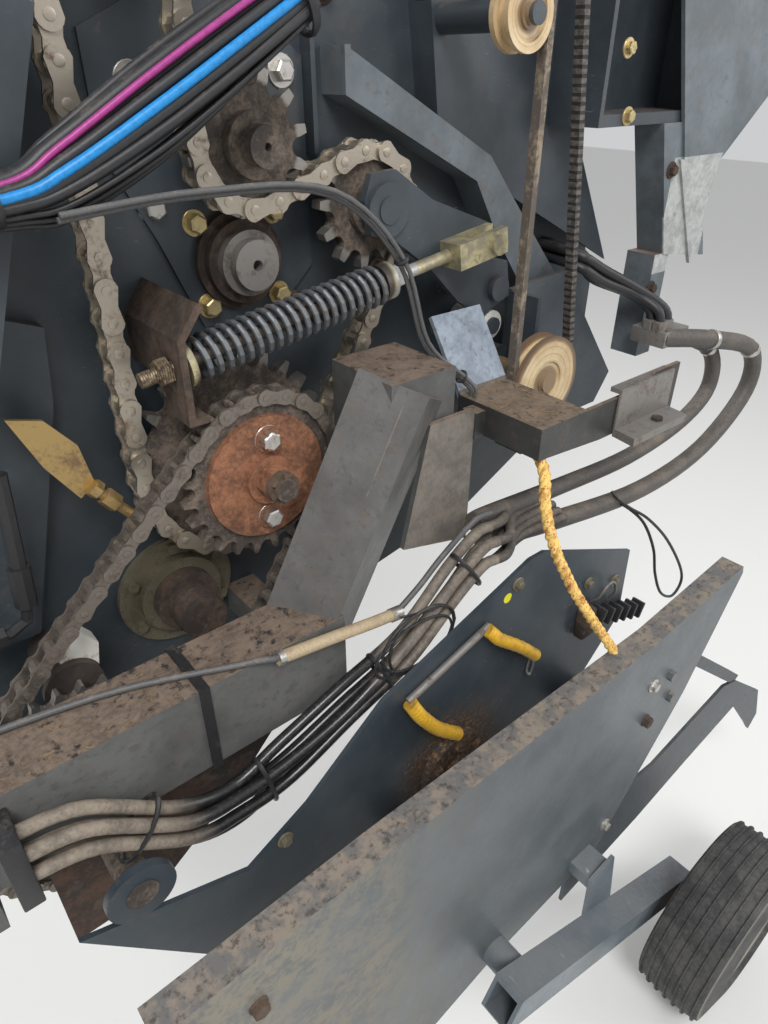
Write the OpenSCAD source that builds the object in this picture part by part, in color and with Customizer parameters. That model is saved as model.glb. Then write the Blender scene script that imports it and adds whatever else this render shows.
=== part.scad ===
// Front drive corner of a round baler, side cover open.
// X runs forward, Y to the left, Z up; the origin is the rear flange of the chassis rail.

/* [Chassis rail] */
// Rail section width across the machine
rail_w = 80; // [60:2:100]
// Rail section height
rail_h = 120; // [90:2:130]
// Length of the level part of the rail
rail_len = 436; // [400:2:470]
// Rear flange plate thickness
flange_t = 12; // [8:1:16]
// Spacing of the flange bolts across the rail
bolt_gap = 60; // [50:2:64]
// Flange bolt hole diameter
bolt_d = 13; // [11:1:18]

/* [Side wall] */
// Distance of the wall from the rail centre line
wall_y = 188; // [180:2:210]
// Wall plate thickness
wall_t = 6; // [4:1:8]

/* [Chain drive] */
// Pitch of the main chain
pitch_a = 31.75; // [25.4:6.35:31.75]
// Pitch of the pickup chain
pitch_b = 25.4; // [19.05:6.35:25.4]
// Distance of the main chain from the rail centre line
chain_a_y = 140; // [138:1:142]
// Distance of the pickup chain from the rail centre line
chain_b_y = 75; // [73:1:77]
// Teeth of the drive sprocket, both rows
drive_n = 24; // [21:1:26]
// Teeth of the three small sprockets
small_n = 12; // [11:1:13]
// Teeth of the pickup sprocket
pick_n = 36; // [30:1:38]

/* [Tensioner] */
// Outer diameter of the tension spring
spring_d = 50; // [40:1:54]
// Number of spring coils
spring_n = 20; // [14:1:24]
// Spring wire diameter
wire_d = 7; // [5:0.5:8]

/* [Belt drive] */
// Diameter of the lower belt pulley
pulley_d = 130; // [110:2:134]
// Width of the belt
belt_w = 13; // [10:1:17]

/* [Pickup end] */
// Outer plate thickness
cheek_t = 6; // [4:1:8]
// Gauge wheel tyre diameter
tyre_d = 360; // [320:10:380]
// Gauge wheel tyre width
tyre_w = 140; // [110:5:140]
// Gauge arm section height
arm_h = 60; // [50:2:70]

/* [Hidden] */
$fn = 32;
eps = 0.2;
steel = [0.22, 0.25, 0.28];
rust = [0.48, 0.28, 0.18];
zinc = [0.72, 0.62, 0.32];
bright = [0.6, 0.6, 0.57];
black = [0.07, 0.07, 0.08];
cream = [0.85, 0.75, 0.52];
yellow = [0.9, 0.7, 0.12];
rail_in = rail_w / 2;
rail_top = rail_h / 2;
r_drive_a = pitch_a / (2 * sin(180 / drive_n));
r_drive_b = pitch_b / (2 * sin(180 / drive_n));
r_small = pitch_a / (2 * sin(180 / small_n));
r_pick = pitch_b / (2 * sin(180 / pick_n));
drive_c = [416, 222];
pick_c = [129, -108];
roll_c = [472, 562];
idler_c = [626, 488];
top_c = [356, 790];
belt_c = [862, 240];
belt_top = [822, 770];
belt_roll = belt_top + [-67, -93];
belt_y = 30;
hub_c = [327, 29];
wheel_c = [1045, -783];
wheel_y = -423;
arm_y = -318;
cheek_y = -242;
panel_y = -100;
rod_y = 85;
rod_a = [296, 364];
rod_b = [780, 436];

// Box between two opposite corners
module box(a, b) {
    translate(a)
        cube([b[0] - a[0], b[1] - a[1], b[2] - a[2]]);
}

// Flat plate standing lengthwise, its outline given as X and Z
module plate(y, t, pts) {
    translate([0, y + t, 0])
        rotate([90, 0, 0])
            linear_extrude(t)
                polygon(pts);
}

// Round bar across the machine from y0 to y1
module bar(c, y0, y1, r) {
    translate([c[0], y1, c[1]])
        rotate([90, 0, 0])
            cylinder(h = y1 - y0, r = r);
}

// Ring across the machine from y0 to y1
module ring(c, y0, y1, r, bore) {
    difference() {
        bar(c, y0, y1, r);
        bar(c, y0 - 1, y1 + 1, bore);
    }
}

// Hexagon across the machine
module hex(c, y0, y1, r) {
    translate([c[0], y1, c[1]])
        rotate([90, 0, 0])
            cylinder(h = y1 - y0, r = r, $fn = 6);
}

// Straight bar between two points
module link(p, q, r, n = 32) {
    d = q - p;
    len = norm(d);
    translate(p)
        rotate([0, acos(d[2] / len), atan2(d[1], d[0])])
            cylinder(h = len, r = r, $fn = n);
}

// Bent hose along a short run of points
module hose(pts, r, n = 8) {
    for (i = [0 : len(pts) - 2]) {
        u = (pts[i + 1] - pts[i]) / norm(pts[i + 1] - pts[i]);
        back = i == 0 ? 0 : r * 0.45;
        ahead = i == len(pts) - 2 ? 0 : r * 0.45;
        link(pts[i] - u * back, pts[i + 1] + u * ahead, r, n);
    }
}

// Chain geometry: each wheel is [x, z, radius, teeth, turn], turn 1 is anticlockwise
function pos(w) = [w[0], w[1]];
function aim(w, v) = atan2(v[1] - w[1], v[0] - w[0])
    + asin((w[4] * w[2] - v[4] * v[2]) / norm(pos(v) - pos(w)));
function touch(w, phi) = pos(w) + w[4] * w[2] * [sin(phi), -cos(phi)];
function wrap(a) = a - 360 * floor(a / 360);
function aims(ws) = [for (i = [0 : len(ws) - 1]) aim(ws[i], ws[(i + 1) % len(ws)])];
function turns(ws, ph) = [for (i = [0 : len(ws) - 1])
    wrap(ws[i][4] * (ph[i] - ph[(i + len(ws) - 1) % len(ws)]))];
function runs(ws, ph) = [for (i = [0 : len(ws) - 1])
    norm(touch(ws[(i + 1) % len(ws)], ph[i]) - touch(ws[i], ph[i]))];
function total(v, n) = n <= 0 ? 0 : v[n - 1] + total(v, n - 1);
function arc_links(ws, ph) = [for (i = [0 : len(ws) - 1]) turns(ws, ph)[i] * ws[i][3] / 360];
function count(ws, ph, p) = 2 * round(
    (total(arc_links(ws, ph), len(ws)) + total(runs(ws, ph), len(ws)) / p) / 2);
function step(ws, ph, p) = total(runs(ws, ph), len(ws))
    / (count(ws, ph, p) - total(arc_links(ws, ph), len(ws)));
// Link number at which wheel i is reached
function starts(ws, ph, p) = let (a = arc_links(ws, ph), r = runs(ws, ph), s = step(ws, ph, p))
    [for (i = [0 : len(ws)]) total(a, i) + total(r, i) / s];
// Angle on wheel i of the point f links after the chain reaches it
function on_wheel(ws, ph, i, f) = ph[(i + len(ws) - 1) % len(ws)] - 90 * ws[i][4]
    + ws[i][4] * f * 360 / ws[i][3];
function pin_at(ws, ph, st, s, k) = let (
        i = max([for (j = [0 : len(ws) - 1]) if (st[j] <= k + 1e-6) j]),
        f = k - st[i],
        a = arc_links(ws, ph)[i])
    f <= a
        ? pos(ws[i]) + ws[i][2] * [cos(on_wheel(ws, ph, i, f)), sin(on_wheel(ws, ph, i, f))]
        : touch(ws[i], ph[i]) + (f - a) * s * [cos(ph[i]), sin(ph[i])];
function pins(ws, p) = let (ph = aims(ws), st = starts(ws, ph, p), s = step(ws, ph, p))
    [for (k = [0 : count(ws, ph, p) - 1]) pin_at(ws, ph, st, s, k)];
function phase(ws, p, i) = let (ph = aims(ws), st = starts(ws, ph, p))
    on_wheel(ws, ph, i, ceil(st[i]) - st[i]);

main_loop = [
    [top_c[0], top_c[1], r_small, small_n, 1],
    [drive_c[0], drive_c[1], r_drive_a, drive_n, 1],
    [idler_c[0], idler_c[1], r_small, small_n, 1],
    [roll_c[0], roll_c[1], r_small, small_n, -1]
];
pick_loop = [
    [drive_c[0], drive_c[1], r_drive_b, drive_n, 1],
    [pick_c[0], pick_c[1], r_pick, pick_n, 1]
];
main_pins = pins(main_loop, pitch_a);
pick_pins = pins(pick_loop, pitch_b);

// One side plate of a chain link in the plane of the chain
module link_plate(p, q, h, y, t) {
    u = (q - p) / norm(q - p);
    v = [-u[1], u[0]];
    plate(y, t, [
        p - u * h, p - u * h * 0.3 + v * h, q + u * h * 0.3 + v * h,
        q + u * h, q + u * h * 0.3 - v * h, p - u * h * 0.3 - v * h
    ]);
}

// Closed roller chain with waisted side plates and a roller on every pin
module chain(pts, y, pitch) {
    n = len(pts);
    h = pitch * 0.39;
    t = pitch * 0.1;
    inner = pitch * 0.31;
    for (k = [0 : n - 1]) {
        p = pts[k];
        q = pts[(k + 1) % n];
        off = inner + (k % 2) * t;
        for (s = [-1, 1])
            link_plate(p, q, h, y + s * off - (s < 0 ? t : 0) - eps * s, t);
        translate([p[0], y + inner + 1.6 * t, p[1]])
            rotate([90, 18, 0])
                cylinder(h = 2 * inner + 3.2 * t, r = pitch * 0.28, $fn = 6);
    }
}

// Toothed wheel: seats for the rollers are cut round the rim
module toothed(c, y, t, r, n, pitch, turn, bore) {
    seat = pitch * 0.32;
    translate([c[0], y + t / 2, c[1]])
        rotate([90, 0, 0])
            linear_extrude(t)
                difference() {
                    circle(r = r + pitch * 0.3);
                    for (i = [0 : n - 1])
                        rotate(turn + i * 360 / n)
                            translate([r, 0]) {
                                circle(r = seat, $fn = 12);
                                polygon([[0, -seat], [0, seat], [pitch, pitch * 0.8], [pitch, -pitch * 0.8]]);
                            }
                    circle(r = bore);
                }
}

module flange_holes() {
    for (y = [-1, 1], z = [-1, 1])
        translate([-1, y * bolt_gap / 2, z * (rail_top + 22)])
            rotate([0, 90, 0])
                cylinder(h = flange_t + 2, d = bolt_d);
}

// Raised end of the rail, turned a little about its own axis
module ramp() {
    intersection() {
        translate([rail_len, -rail_in, rail_top])
            rotate([0, 29, 0])
                rotate([0, 0, 29])
                    translate([0, 0, -62])
                        cube([88, 92, 350]);
        box([0, -rail_in, -rail_top], [800, rail_in + 10, 400]);
    }
}

// Front edge of the plate that closes the raised end
step_x = rail_len + 240;

module rail() {
    color(steel)
        difference() {
            union() {
                box([0, -bolt_gap / 2 - 20, -rail_top - 45], [flange_t, bolt_gap / 2 + 20, rail_top + 45]);
                box([0, -rail_in, -rail_top], [rail_len + 10, rail_in, rail_top]);
                ramp();
                box([step_x - 128, -6, 232], [step_x - 26, chain_a_y - 30, 322]);
                box([hub_c[0] + 73, rail_in - 1, -50], [hub_c[0] + 117, wall_y, -6]);
                plate(-18, 8, [[step_x - 116, 96], [step_x, 66], [step_x, 262], [step_x - 76, 262]]);
            }
            flange_holes();
            box([-1, -rail_in + 6, -rail_top + 6], [rail_len - 60, rail_in - 6, rail_top - 6]);
        }
}

wall_outline = [
    [60, -170], [60, 640], [180, 740], [280, 860], [700, 860], [700, 700], [964, 700],
    [1060, 560], [1180, 300], [1180, 80], [900, -60], [560, -120], [210, -170]
];
wall_bolts = [[377, 619, 9], [547, 626, 9], [381, 504, 9], [423, 485, 9], [522, 488, 9], [428, 394, 9], [523, 393, 8], [652, 614, 8]];

module side_wall() {
    color(steel)
        difference() {
            union() {
                plate(wall_y, wall_t, wall_outline);
                plate(wall_y - 5, 5 + eps, [[335, 660], [400, 690], [500, 690], [575, 640], [575, 420],
                    [520, 370], [420, 370], [380, 470], [335, 560]]);
                plate(wall_y - 20, 20 + eps, [[577, 690], [583, 690], [583, 545], [577, 545]]);
                bar(pick_c, wall_y - 14, wall_y + eps, 36);
                bar(drive_c, wall_y - 10, wall_y + eps, 56);
                bar(top_c, wall_y - 8, wall_y + eps, 45);
                for (b = wall_bolts)
                    hex([b[0], b[1]], wall_y - 12, wall_y + 1, b[2]);
                bar(guide_c, 99, wall_y + eps, 6);
                bar(guide_c, 98, 103, 12);
            }
            bar([471, 441], wall_y - 30, wall_y + wall_t + 1, 40);
            bar(hub_c, wall_y - 1, wall_y + wall_t + 1, 46);
            bar(roll_c, wall_y - 30, wall_y + wall_t + 1, 20.3);
            bar(drive_c, wall_y - 30, wall_y + wall_t + 1, 30.3);
            bar(top_c, wall_y - 30, wall_y + wall_t + 1, 20.3);
            bar(pick_c, wall_y - 30, wall_y + wall_t + 1, 18.3);
        }
}

module front_flange() {
    color(steel) {
        plate(wall_y - 46, 46, [[604, 650], [612, 650], [612, 611], [824, 507], [883, 420], [962, 322], [1140, 90],
            [1128, 86], [954, 316], [875, 414], [821, 499], [604, 603]]);
        plate(wall_y - 46, 6, [[604, 650], [845, 528], [894, 475], [1040, 322], [1180, 90], [1128, 86], [954, 316],
            [875, 414], [821, 499], [604, 603]]);
    }
}

module corner_post() {
    color(steel) {
        translate([112, 90, 400])
            rotate([0, 20, 0])
                cube([60, wall_y - 90, 310]);
        plate(wall_y - 22, 21.7, [[62, 60], [62, 460], [190, 430], [240, 410], [230, 330], [150, 60]]);
    }
}

module bearing_block() {
    color(bright)
        difference() {
            union() {
                bar([471, 441], wall_y - 14, wall_y - 5, 54);
                bar([471, 441], wall_y - 26, wall_y - 13, 46);
            }
            bar([471, 441], wall_y - 40, wall_y + 20, 36.05);
        }
}

module roller_shaft() {
    color(rust)
        difference() {
            union() {
                bar([471, 441], wall_y - 52, wall_y + 60, 27.5);
                bar([471, 441], wall_y - 38, wall_y + 18, 36);
            }
            bar([471, 441], wall_y - 53, wall_y - 36, 6);
        }
}

module hub_flange() {
    color(zinc) {
        difference() {
            union() {
                bar(hub_c, wall_y - 8, wall_y, 80);
                bar(hub_c, wall_y - 24, wall_y - 7, 56);
            }
            bar(hub_c, wall_y - 40, wall_y + 30, 42.05);
        }
        for (a = [30 : 60 : 330])
            hex(hub_c + [68 * cos(a), 68 * sin(a)], wall_y - 16, wall_y - 7, 8);
    }
}

module rotor_tube() {
    color(rust) {
        bar(hub_c, chain_b_y + 23, wall_y + 60, 30);
        bar(hub_c, wall_y - 40, wall_y + 26, 42);
    }
}

module drive_sprocket() {
    color(rust)
        difference() {
            union() {
                toothed(drive_c, chain_a_y, pitch_a * 0.52, r_drive_a, drive_n, pitch_a, phase(main_loop, pitch_a, 1), 20);
                toothed(drive_c, chain_b_y, pitch_b * 0.52, r_drive_b, drive_n, pitch_b, phase(pick_loop, pitch_b, 0), 20);
                bar(drive_c, chain_b_y - 14, wall_y + 40, 30);
                bar(drive_c, chain_b_y, chain_a_y, 60);
                bar(drive_c, chain_b_y - 14, chain_b_y - 6, 76);
                bar(drive_c, chain_b_y - 22, chain_b_y - 13, 30);
                hex(drive_c, chain_b_y - 40, chain_b_y - 21, 22);
                bar(drive_c, chain_b_y - 56, chain_b_y - 39, 13);
            }
            bar(drive_c, chain_b_y - 57, chain_b_y - 48, 3);
        }
    color(zinc)
        for (s = [-1, 1])
            translate([-2 * s, 0, 0]) {
                bar(drive_c + [s * 5, s * 50], chain_b_y - 17, chain_b_y - 13, 16);
                hex(drive_c + [s * 5, s * 50], chain_b_y - 27, chain_b_y - 16, 11);
            }
}

// Small sprocket with hub, on a shaft from y0 to y1
module small_sprocket(c, i, y0, y1, r) {
    color(rust)
        difference() {
            union() {
                toothed(c, chain_a_y, pitch_a * 0.52, r_small, small_n, pitch_a, phase(main_loop, pitch_a, i), 18);
                bar(c, chain_a_y - 22, chain_a_y + 16, r + 12);
                bar(c, y0, y1, r);
            }
            bar(c, y0 - 1, y0 + 8, 4);
        }
}

module roll_sprocket() { small_sprocket(roll_c, 3, chain_a_y - 44, wall_y + 60, 20); }

module top_sprocket() { small_sprocket(top_c, 0, chain_a_y - 30, wall_y + 60, 20); }

module idler_sprocket() {
    color(rust)
        difference() {
            union() {
                toothed(idler_c, chain_a_y, pitch_a * 0.52, r_small, small_n, pitch_a, phase(main_loop, pitch_a, 2), 20);
                bar(idler_c, chain_a_y - 20, chain_a_y + 20, 32);
            }
            bar(idler_c, chain_a_y - 30, chain_a_y + 30, 15.3);
        }
}

module pickup_sprocket() {
    color(rust) {
        toothed(pick_c, chain_b_y, pitch_b * 0.52, r_pick, pick_n, pitch_b, phase(pick_loop, pitch_b, 1), 15);
        bar(pick_c, chain_b_y - 16, chain_b_y + 24, 28);
        bar(pick_c, panel_y - 2, wall_y + 20, 18);
    }
}

module main_chain() { color(bright) chain(main_pins, chain_a_y, pitch_a); }

module pickup_chain() { color(steel) chain(pick_pins, chain_b_y, pitch_b); }

module slide_shoe() {
    hub = [157, 20];
    color("white")
        plate(104, 24, [[150, 52], [190, 30], [196, 62], [176, 92], [160, 84]]);
    color(black) {
        bar(hub, 98, wall_y, 26);
        bar(hub, 96, 104, 34);
    }
}

arm_outline = [[594, 500], [604, 528], [640, 530], [700, 492], [800, 456], [800, 412], [846, 400], [856, 350], [800, 330], [752, 360], [700, 410], [640, 452], [604, 462]];

module tension_arm() {
    color(steel)
        difference() {
            union() {
                plate(98, 10, arm_outline);
                bar(idler_c, 90, chain_a_y + 26, 15);
                bar(idler_c, 92, 99, 30);
                bar([826, 366], 98, wall_y, 24);
                bar([826, 366], 88, 99, 17);
            }
            bar(rod_b, 90, 120, 9);
        }
}

module tension_rod() {
    a = [rod_a[0], rod_y, rod_a[1]];
    b = [rod_b[0] - 46, rod_y, rod_b[1] - 7];
    u = (b - a) / norm(b - a);
    color(zinc) {
        link(a, b, 8);
        link(a + u * 19, a + u * 31.8, 15, 6);
        link(a + u * 46.8, a + u * 54.2, 25);
        link(a + u * 310, a + u * 326, 22);
        link(a + u * 325, a + u * 342, 14, 6);
        difference() {
            translate([rod_b[0] - 62, rod_y - 24, rod_b[1] - 25])
                rotate([0, -8.5, 0])
                    cube([86, 36.7, 32]);
            translate([rod_b[0] - 40, rod_y - 13, rod_b[1] - 50])
                cube([90, 15, 90]);
        }
        bar(rod_b, rod_y - 32, rod_y - 23, 13);
        bar(rod_b, rod_y - 24, 112, 8.6);
    }
}

// Wire coil standing on its end, n straight steps a turn and m sides round the wire
module coil(r, wire, length, coils, n, m) {
    points = [for (i = [0 : coils * n], k = [0 : m - 1]) let (
            a = 360 * i / n,
            out = r + wire / 2 * cos(360 * k / m))
        [out * cos(a), out * sin(a), wire / 2 + (length - wire) * i / (coils * n) + wire / 2 * sin(360 * k / m)]];
    sides = [for (i = [0 : coils * n - 1], k = [0 : m - 1], half = [0, 1]) let (
            a = i * m + k,
            b = i * m + (k + 1) % m)
        half == 0 ? [a, b + m, b] : [a, a + m, b + m]];
    caps = [[for (k = [0 : m - 1]) k], [for (k = [m - 1 : -1 : 0]) coils * n * m + k]];
    polyhedron(points = points, faces = concat(sides, caps));
}

module tension_spring() {
    slope = atan2(rod_b[1] - 7 - rod_a[1], rod_b[0] - 46 - rod_a[0]);
    color(steel)
        translate([rod_a[0], rod_y, rod_a[1]])
            rotate([0, 90 - slope, 0])
                translate([0, 0, 54.5])
                    coil((spring_d - wire_d) / 2, wire_d, 255.4, spring_n, 14, 8);
}

module spring_bracket() {
    color(rust)
        difference() {
            union() {
                plate(rod_y - 26, 52, [[330, 318], [338, 318], [338, 400], [330, 400]]);
                plate(rod_y - 26, wall_y - rod_y + 26, [[330, 352], [338, 352], [338, 401], [362, 432], [356, 437], [330, 404]]);
                box([330, rod_y - 26, 312], [352, rod_y + 26, 320]);
            }
            translate([320, rod_y, 369.7])
                rotate([0, 90, 0])
                    cylinder(h = 40, r = 9);
        }
}

function tangent(c, d, rc, rd, side) = let (
        a = atan2(d[1] - c[1], d[0] - c[0]),
        b = acos((rc - rd) / norm(d - c)))
    [c + rc * [cos(a + side * b), sin(a + side * b)], d + rd * [cos(a + side * b), sin(a + side * b)]];

module drive_belt() {
    ri = pulley_d / 2 - 8;
    y0 = belt_y - belt_w / 2;
    left = tangent(belt_c, belt_top, ri + 0.1, 18.1, 1);
    right = tangent(belt_c, belt_top, ri + 0.1, 18.1, -1);
    left_o = tangent(belt_c, belt_top, ri + 9.9, 27.9, 1);
    right_o = tangent(belt_c, belt_top, ri + 9.9, 27.9, -1);
    color(black)
        difference() {
            union() {
                bar(belt_c, y0, y0 + belt_w, ri + 10);
                bar(belt_top, y0, y0 + belt_w, 28);
                plate(y0, belt_w, [left_o[0], left_o[1], right_o[1], right_o[0]]);
            }
            bar(belt_c, y0 - 1, y0 + belt_w + 1, ri);
            bar(belt_top, y0 - 1, y0 + belt_w + 1, 18);
            plate(y0 - 1, belt_w + 2, [left[0], left[1], right[1], right[0]]);
        }
}

// Grooved pulley whose belt seat clears the belt by half a millimetre
module pulley(c, seat, rim, y1, shaft) {
    bar(c, belt_y - belt_w / 2 - 7, belt_y - belt_w / 2 - 0.5, rim);
    bar(c, belt_y + belt_w / 2 + 0.5, belt_y + belt_w / 2 + 7, rim);
    bar(c, belt_y - belt_w / 2 - 1, belt_y + belt_w / 2 + 1, seat);
    bar(c, belt_y - belt_w / 2 - 12, y1, shaft);
}

module belt_pulley() {
    color(cream)
        difference() {
            pulley(belt_c, pulley_d / 2 - 8.5, pulley_d / 2 + 2, 150, 14);
            difference() {
                bar(belt_c, belt_y - belt_w / 2 - 8, belt_y - belt_w / 2 - 4, pulley_d / 2 - 34);
                bar(belt_c, belt_y - belt_w / 2 - 9, belt_y, 16);
            }
        }
}

module belt_top_pulley() { color(steel) pulley(belt_top, 17.5, 30, wall_y - 42, 10); }

module belt_roller() {
    color(cream)
        difference() {
            pulley(belt_roll, 26, 36, 44, 10);
            difference() {
                bar(belt_roll, belt_y - belt_w / 2 - 8, belt_y - belt_w / 2 - 4, 26);
                bar(belt_roll, belt_y - belt_w / 2 - 9, belt_y, 14);
            }
            bar(belt_roll, belt_y - 30, 60, 6.05);
        }
}

guide_c = [830, 310];

module guide_roller() {
    color(cream)
        difference() {
            union() {
                bar(guide_c, 104, 110, 21);
                bar(guide_c, 104, wall_y - 14, 17);
            }
            bar(guide_c, 103, wall_y, 6.05);
        }
}

module pulley_plate() {
    color(steel)
        difference() {
            union() {
                plate(112, 8, [[874, 160], [878, 352], [1000, 360], [1171, 154], [1138, 103], [900, 100]]);
                box([876, 60, 100], [884, 116, 350]);
                bar(belt_c, 111, wall_y, 30);
            }
            bar(belt_c, 50, 151, 14.05);
        }
}

module front_panel() {
    color(steel)
        difference() {
            union() {
                plate(wall_y - 40, 5, [[733, 694], [700, 860], [964, 860], [1000, 600], [1154, 350], [1010, 420],
                    [905, 470], [860, 512], [752, 560]]);
                plate(wall_y - 36, 36, [[733, 694], [739, 694], [760, 563], [752, 560]]);
                difference() {
                    box([960, 60, 560], [1230, wall_y - 36, 860]);
                    box([968, 40, 575], [1222, wall_y - 44, 852]);
                }
                box([800, 60, 740], [840, wall_y - 36, 748]);
                bar(belt_top, 118, wall_y - 38, 18);
                bar(belt_roll, 44.5, wall_y - 38, 16);
                bar(belt_roll, belt_y - 24, 46, 6);
                bar(belt_roll, belt_y - 25, belt_y - 20, 11);
            }
            bar(belt_top, 110, wall_y - 41, 10.05);
        }
}

module corner_panel() {
    color(steel) {
        plate(52, 6, [[1101, 704], [1110, 860], [1339, 860], [1409, 597], [1288, 501], [1181, 508]]);
        plate(52, 6, [[1169, 510], [1288, 501], [1263, 344]]);
        plate(56, 50, [[1112, 560], [1221, 560], [1311, 351], [1181, 369]]);
        box([1160, 58, 200], [1200, 110, 370]);
    }
}

tray_x = [step_x + 18, step_x + 109];
tray_z = 262;

module hose_bracket() {
    color(steel) {
        box([tray_x[0], -112, tray_z - 6], [tray_x[1], 30, tray_z]);
        translate([tray_x[0], 30, tray_z - 6])
            rotate([56, 0, 0])
                cube([tray_x[1] - tray_x[0], 112, 6]);
        box([tray_x[0], -112, tray_z - 42], [tray_x[0] + 6, 30, tray_z]);
        plate(-112, 6, [[tray_x[0], tray_z], [tray_x[0], tray_z - 42], [step_x + 144, tray_z - 52],
            [step_x + 314, tray_z - 52], [step_x + 314, tray_z + 16], [step_x + 254, tray_z + 16],
            [step_x + 224, tray_z]]);
        box([step_x + 184, -108, tray_z - 52], [step_x + 314, -60, tray_z - 46]);
        box([step_x, -20, tray_z - 42], [tray_x[0] + 1, 4, tray_z - 6]);
    }
    color(rust)
        translate([step_x + 254, -84, tray_z - 47])
            cylinder(h = 9, r = 9, $fn = 6);
}

module cable_anchor() {
    color(zinc) {
        plate(120, 5, [[173, 345], [206, 335], [232, 300], [240, 252], [222, 240], [195, 286]]);
        box([196, 124, 290], [206, wall_y - 22, 310]);
    }
    color(black)
        hose([[236, 116, 250], [262, 112, 214], [274, 112, 198]], 6);
}

module hose_elbow() {
    color(black)
        hose([[154, 128, 290], [150, 128, 240], [145, 128, 180]], 9);
    color(bright) {
        hose([[145, 128, 182], [141, 128, 132]], 12);
        hose([[141, 128, 134], [136, 128, 112], [118, 128, 104], [104, 128, 104]], 6);
        hose([[112, 128, 104], [84, 128, 104]], 12, 6);
    }
    color(steel)
        box([74, 116, 92], [86, wall_y - 22, 116]);
}

// Bundle of tubes side by side across Y, each entry is [y, z offset, radius]
bundle_route = [[70, 530], [207, 543], [257, 560], [339, 602], [420, 646], [500, 690]];
bundle_tubes = [[58, 0, 8], [72, 4, 8], [86, -2, 8], [64, 15, 7], [80, 15, 7], [70, -13, 7], [84, -15, 6]];

module cable_bundle() {
    for (b = bundle_tubes)
        color(b[1] == 15 && b[0] < 70 ? [0.1, 0.5, 0.85] : black)
            hose([for (p = bundle_route) [p[0], b[0] - 20, p[1] + b[1]]], b[2]);
    color(black)
        for (x = [232, 268, 486])
            box([x, 30, x * 0.45 + 424], [x + 8, 84, x * 0.45 + 474]);
    color(steel)
        box([478, 60, 668], [490, wall_y - 5, 690]);
}

module pull_cables() {
    color(black)
        for (dy = [0, 8])
            hose([[240.5, 34 + dy, 529], [365, 34 + dy, 536], [505, 32 + dy, 524], [598, 34 + dy, 446], [642, 36 + dy, 340],
                [690, 18 + dy, 290], [702, 8 + dy, 274], [702, 8 + dy, 262.3]], 3.5);
}

rail_hoses_route = [[49, -62, 0], [108, -62, -16], [197, -62, -90], [262, -62, -104],
    [330, -62, -90], [420, -62, -60], [520, -60, -20], [600, -60, 40], [650, -60, 75], [step_x - 0.3, -60, 75]];

module rail_hoses() {
    color(black)
        for (k = [0 : 4])
            hose([for (p = rail_hoses_route) p + [0, -(k % 2) * 16, (k - 2) * 15]], 7.5);
    color(steel)
        box([30, -90, -45], [50, -rail_in, 45]);
}

module brake_cable() {
    color(black)
        hose([[12.3, 37, 68], [60, 36, 67], [185, 13, 64.3], [304, -36, 64.3], [322, -44, 65], [350, -48.6, 56]], 4);
    color(cream)
        hose([[344, -48.6, 58], [420, -48.6, 46], [480, -49, 36], [523, -49, 30]], 8);
    color(black) {
        hose([[520, -49, 30], [560, -50, 56], [600, -50, 86], [645, -60, 128], [step_x - 0.3, -60, 128]], 4);
        difference() {
            box([250, -rail_in - 3.3, -rail_top - 3.3], [262, rail_in + 3.3, rail_top + 3.3]);
            box([240, -rail_in - 0.3, -rail_top - 0.3], [270, rail_in + 0.3, rail_top + 0.3]);
        }
    }
}

module front_hoses() {
    color(black) {
        for (i = [0 : 1], j = [0 : 1])
            hose([[1015 + 18 * i, wall_y - 0.3, 371 + 17 * j], [1015 + 18 * i, 165, 371 + 17 * j],
                [1015 + 18 * i, 97 + 17 * i, 366 + 17 * j],
                [1060, 80 + 17 * i, 340 + 17 * j],
                [1120, 55 + 17 * i, 314 + 10 * j], [1140 + 19 * j, 20 + 17 * i, 290], [1140 + 19 * j, 14 + 17 * i, 255]], 7.8);
        hose([[step_x + 34, -34, 60], [866, -36, 28], [1093, -40, 0], [1285, -40, 20], [1408, -40, 103],
            [1380, -40, 190], [1240, -30, 236], [1140, 6, 250]], 14);
        hose([[step_x + 34, -24, 92], [900, -4, 60], [1090, -4, 50], [1250, -4, 70], [1330, -4, 120],
            [1300, 0, 200], [1190, 30, 244]], 12);
    }
    color(steel) {
        box([step_x, -84, 20], [step_x + 36, -10, 140]);
        box([1130, -6, 236], [1200, 58, 262]);
    }
}

rope_route = [[720, -60, 255.6], [720, -60, 244], [716, -88, 220], [706, -114, 202], [694, -132, 164],
    [692, -152, 122], [702, -170, 80], [718, -188, 38], [742, -206, -8], [770, -224, -58]];

// Ring of points round route point i, square to the route
function ring_at(route, i, r, n) = let (
        a = route[max(i - 1, 0)],
        b = route[min(i + 1, len(route) - 1)],
        t = (b - a) / norm(b - a),
        u = cross(t, [1, 0, 0]) / norm(cross(t, [1, 0, 0])),
        v = cross(t, u))
    [for (k = [0 : n - 1]) route[i] + r * (cos(360 * k / n) * u + sin(360 * k / n) * v)];

module cord(route, r, n) {
    m = len(route);
    points = [for (i = [0 : m - 1]) each ring_at(route, i, r, n)];
    sides = [for (i = [0 : m - 2], k = [0 : n - 1])
        [i * n + k, i * n + (k + 1) % n, (i + 1) * n + (k + 1) % n, (i + 1) * n + k]];
    caps = [[for (k = [n - 1 : -1 : 0]) k], [for (k = [0 : n - 1]) (m - 1) * n + k]];
    polyhedron(points = points, faces = concat(sides, caps));
}

module rope() { color(yellow) cord(rope_route, 7, 8); }

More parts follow.
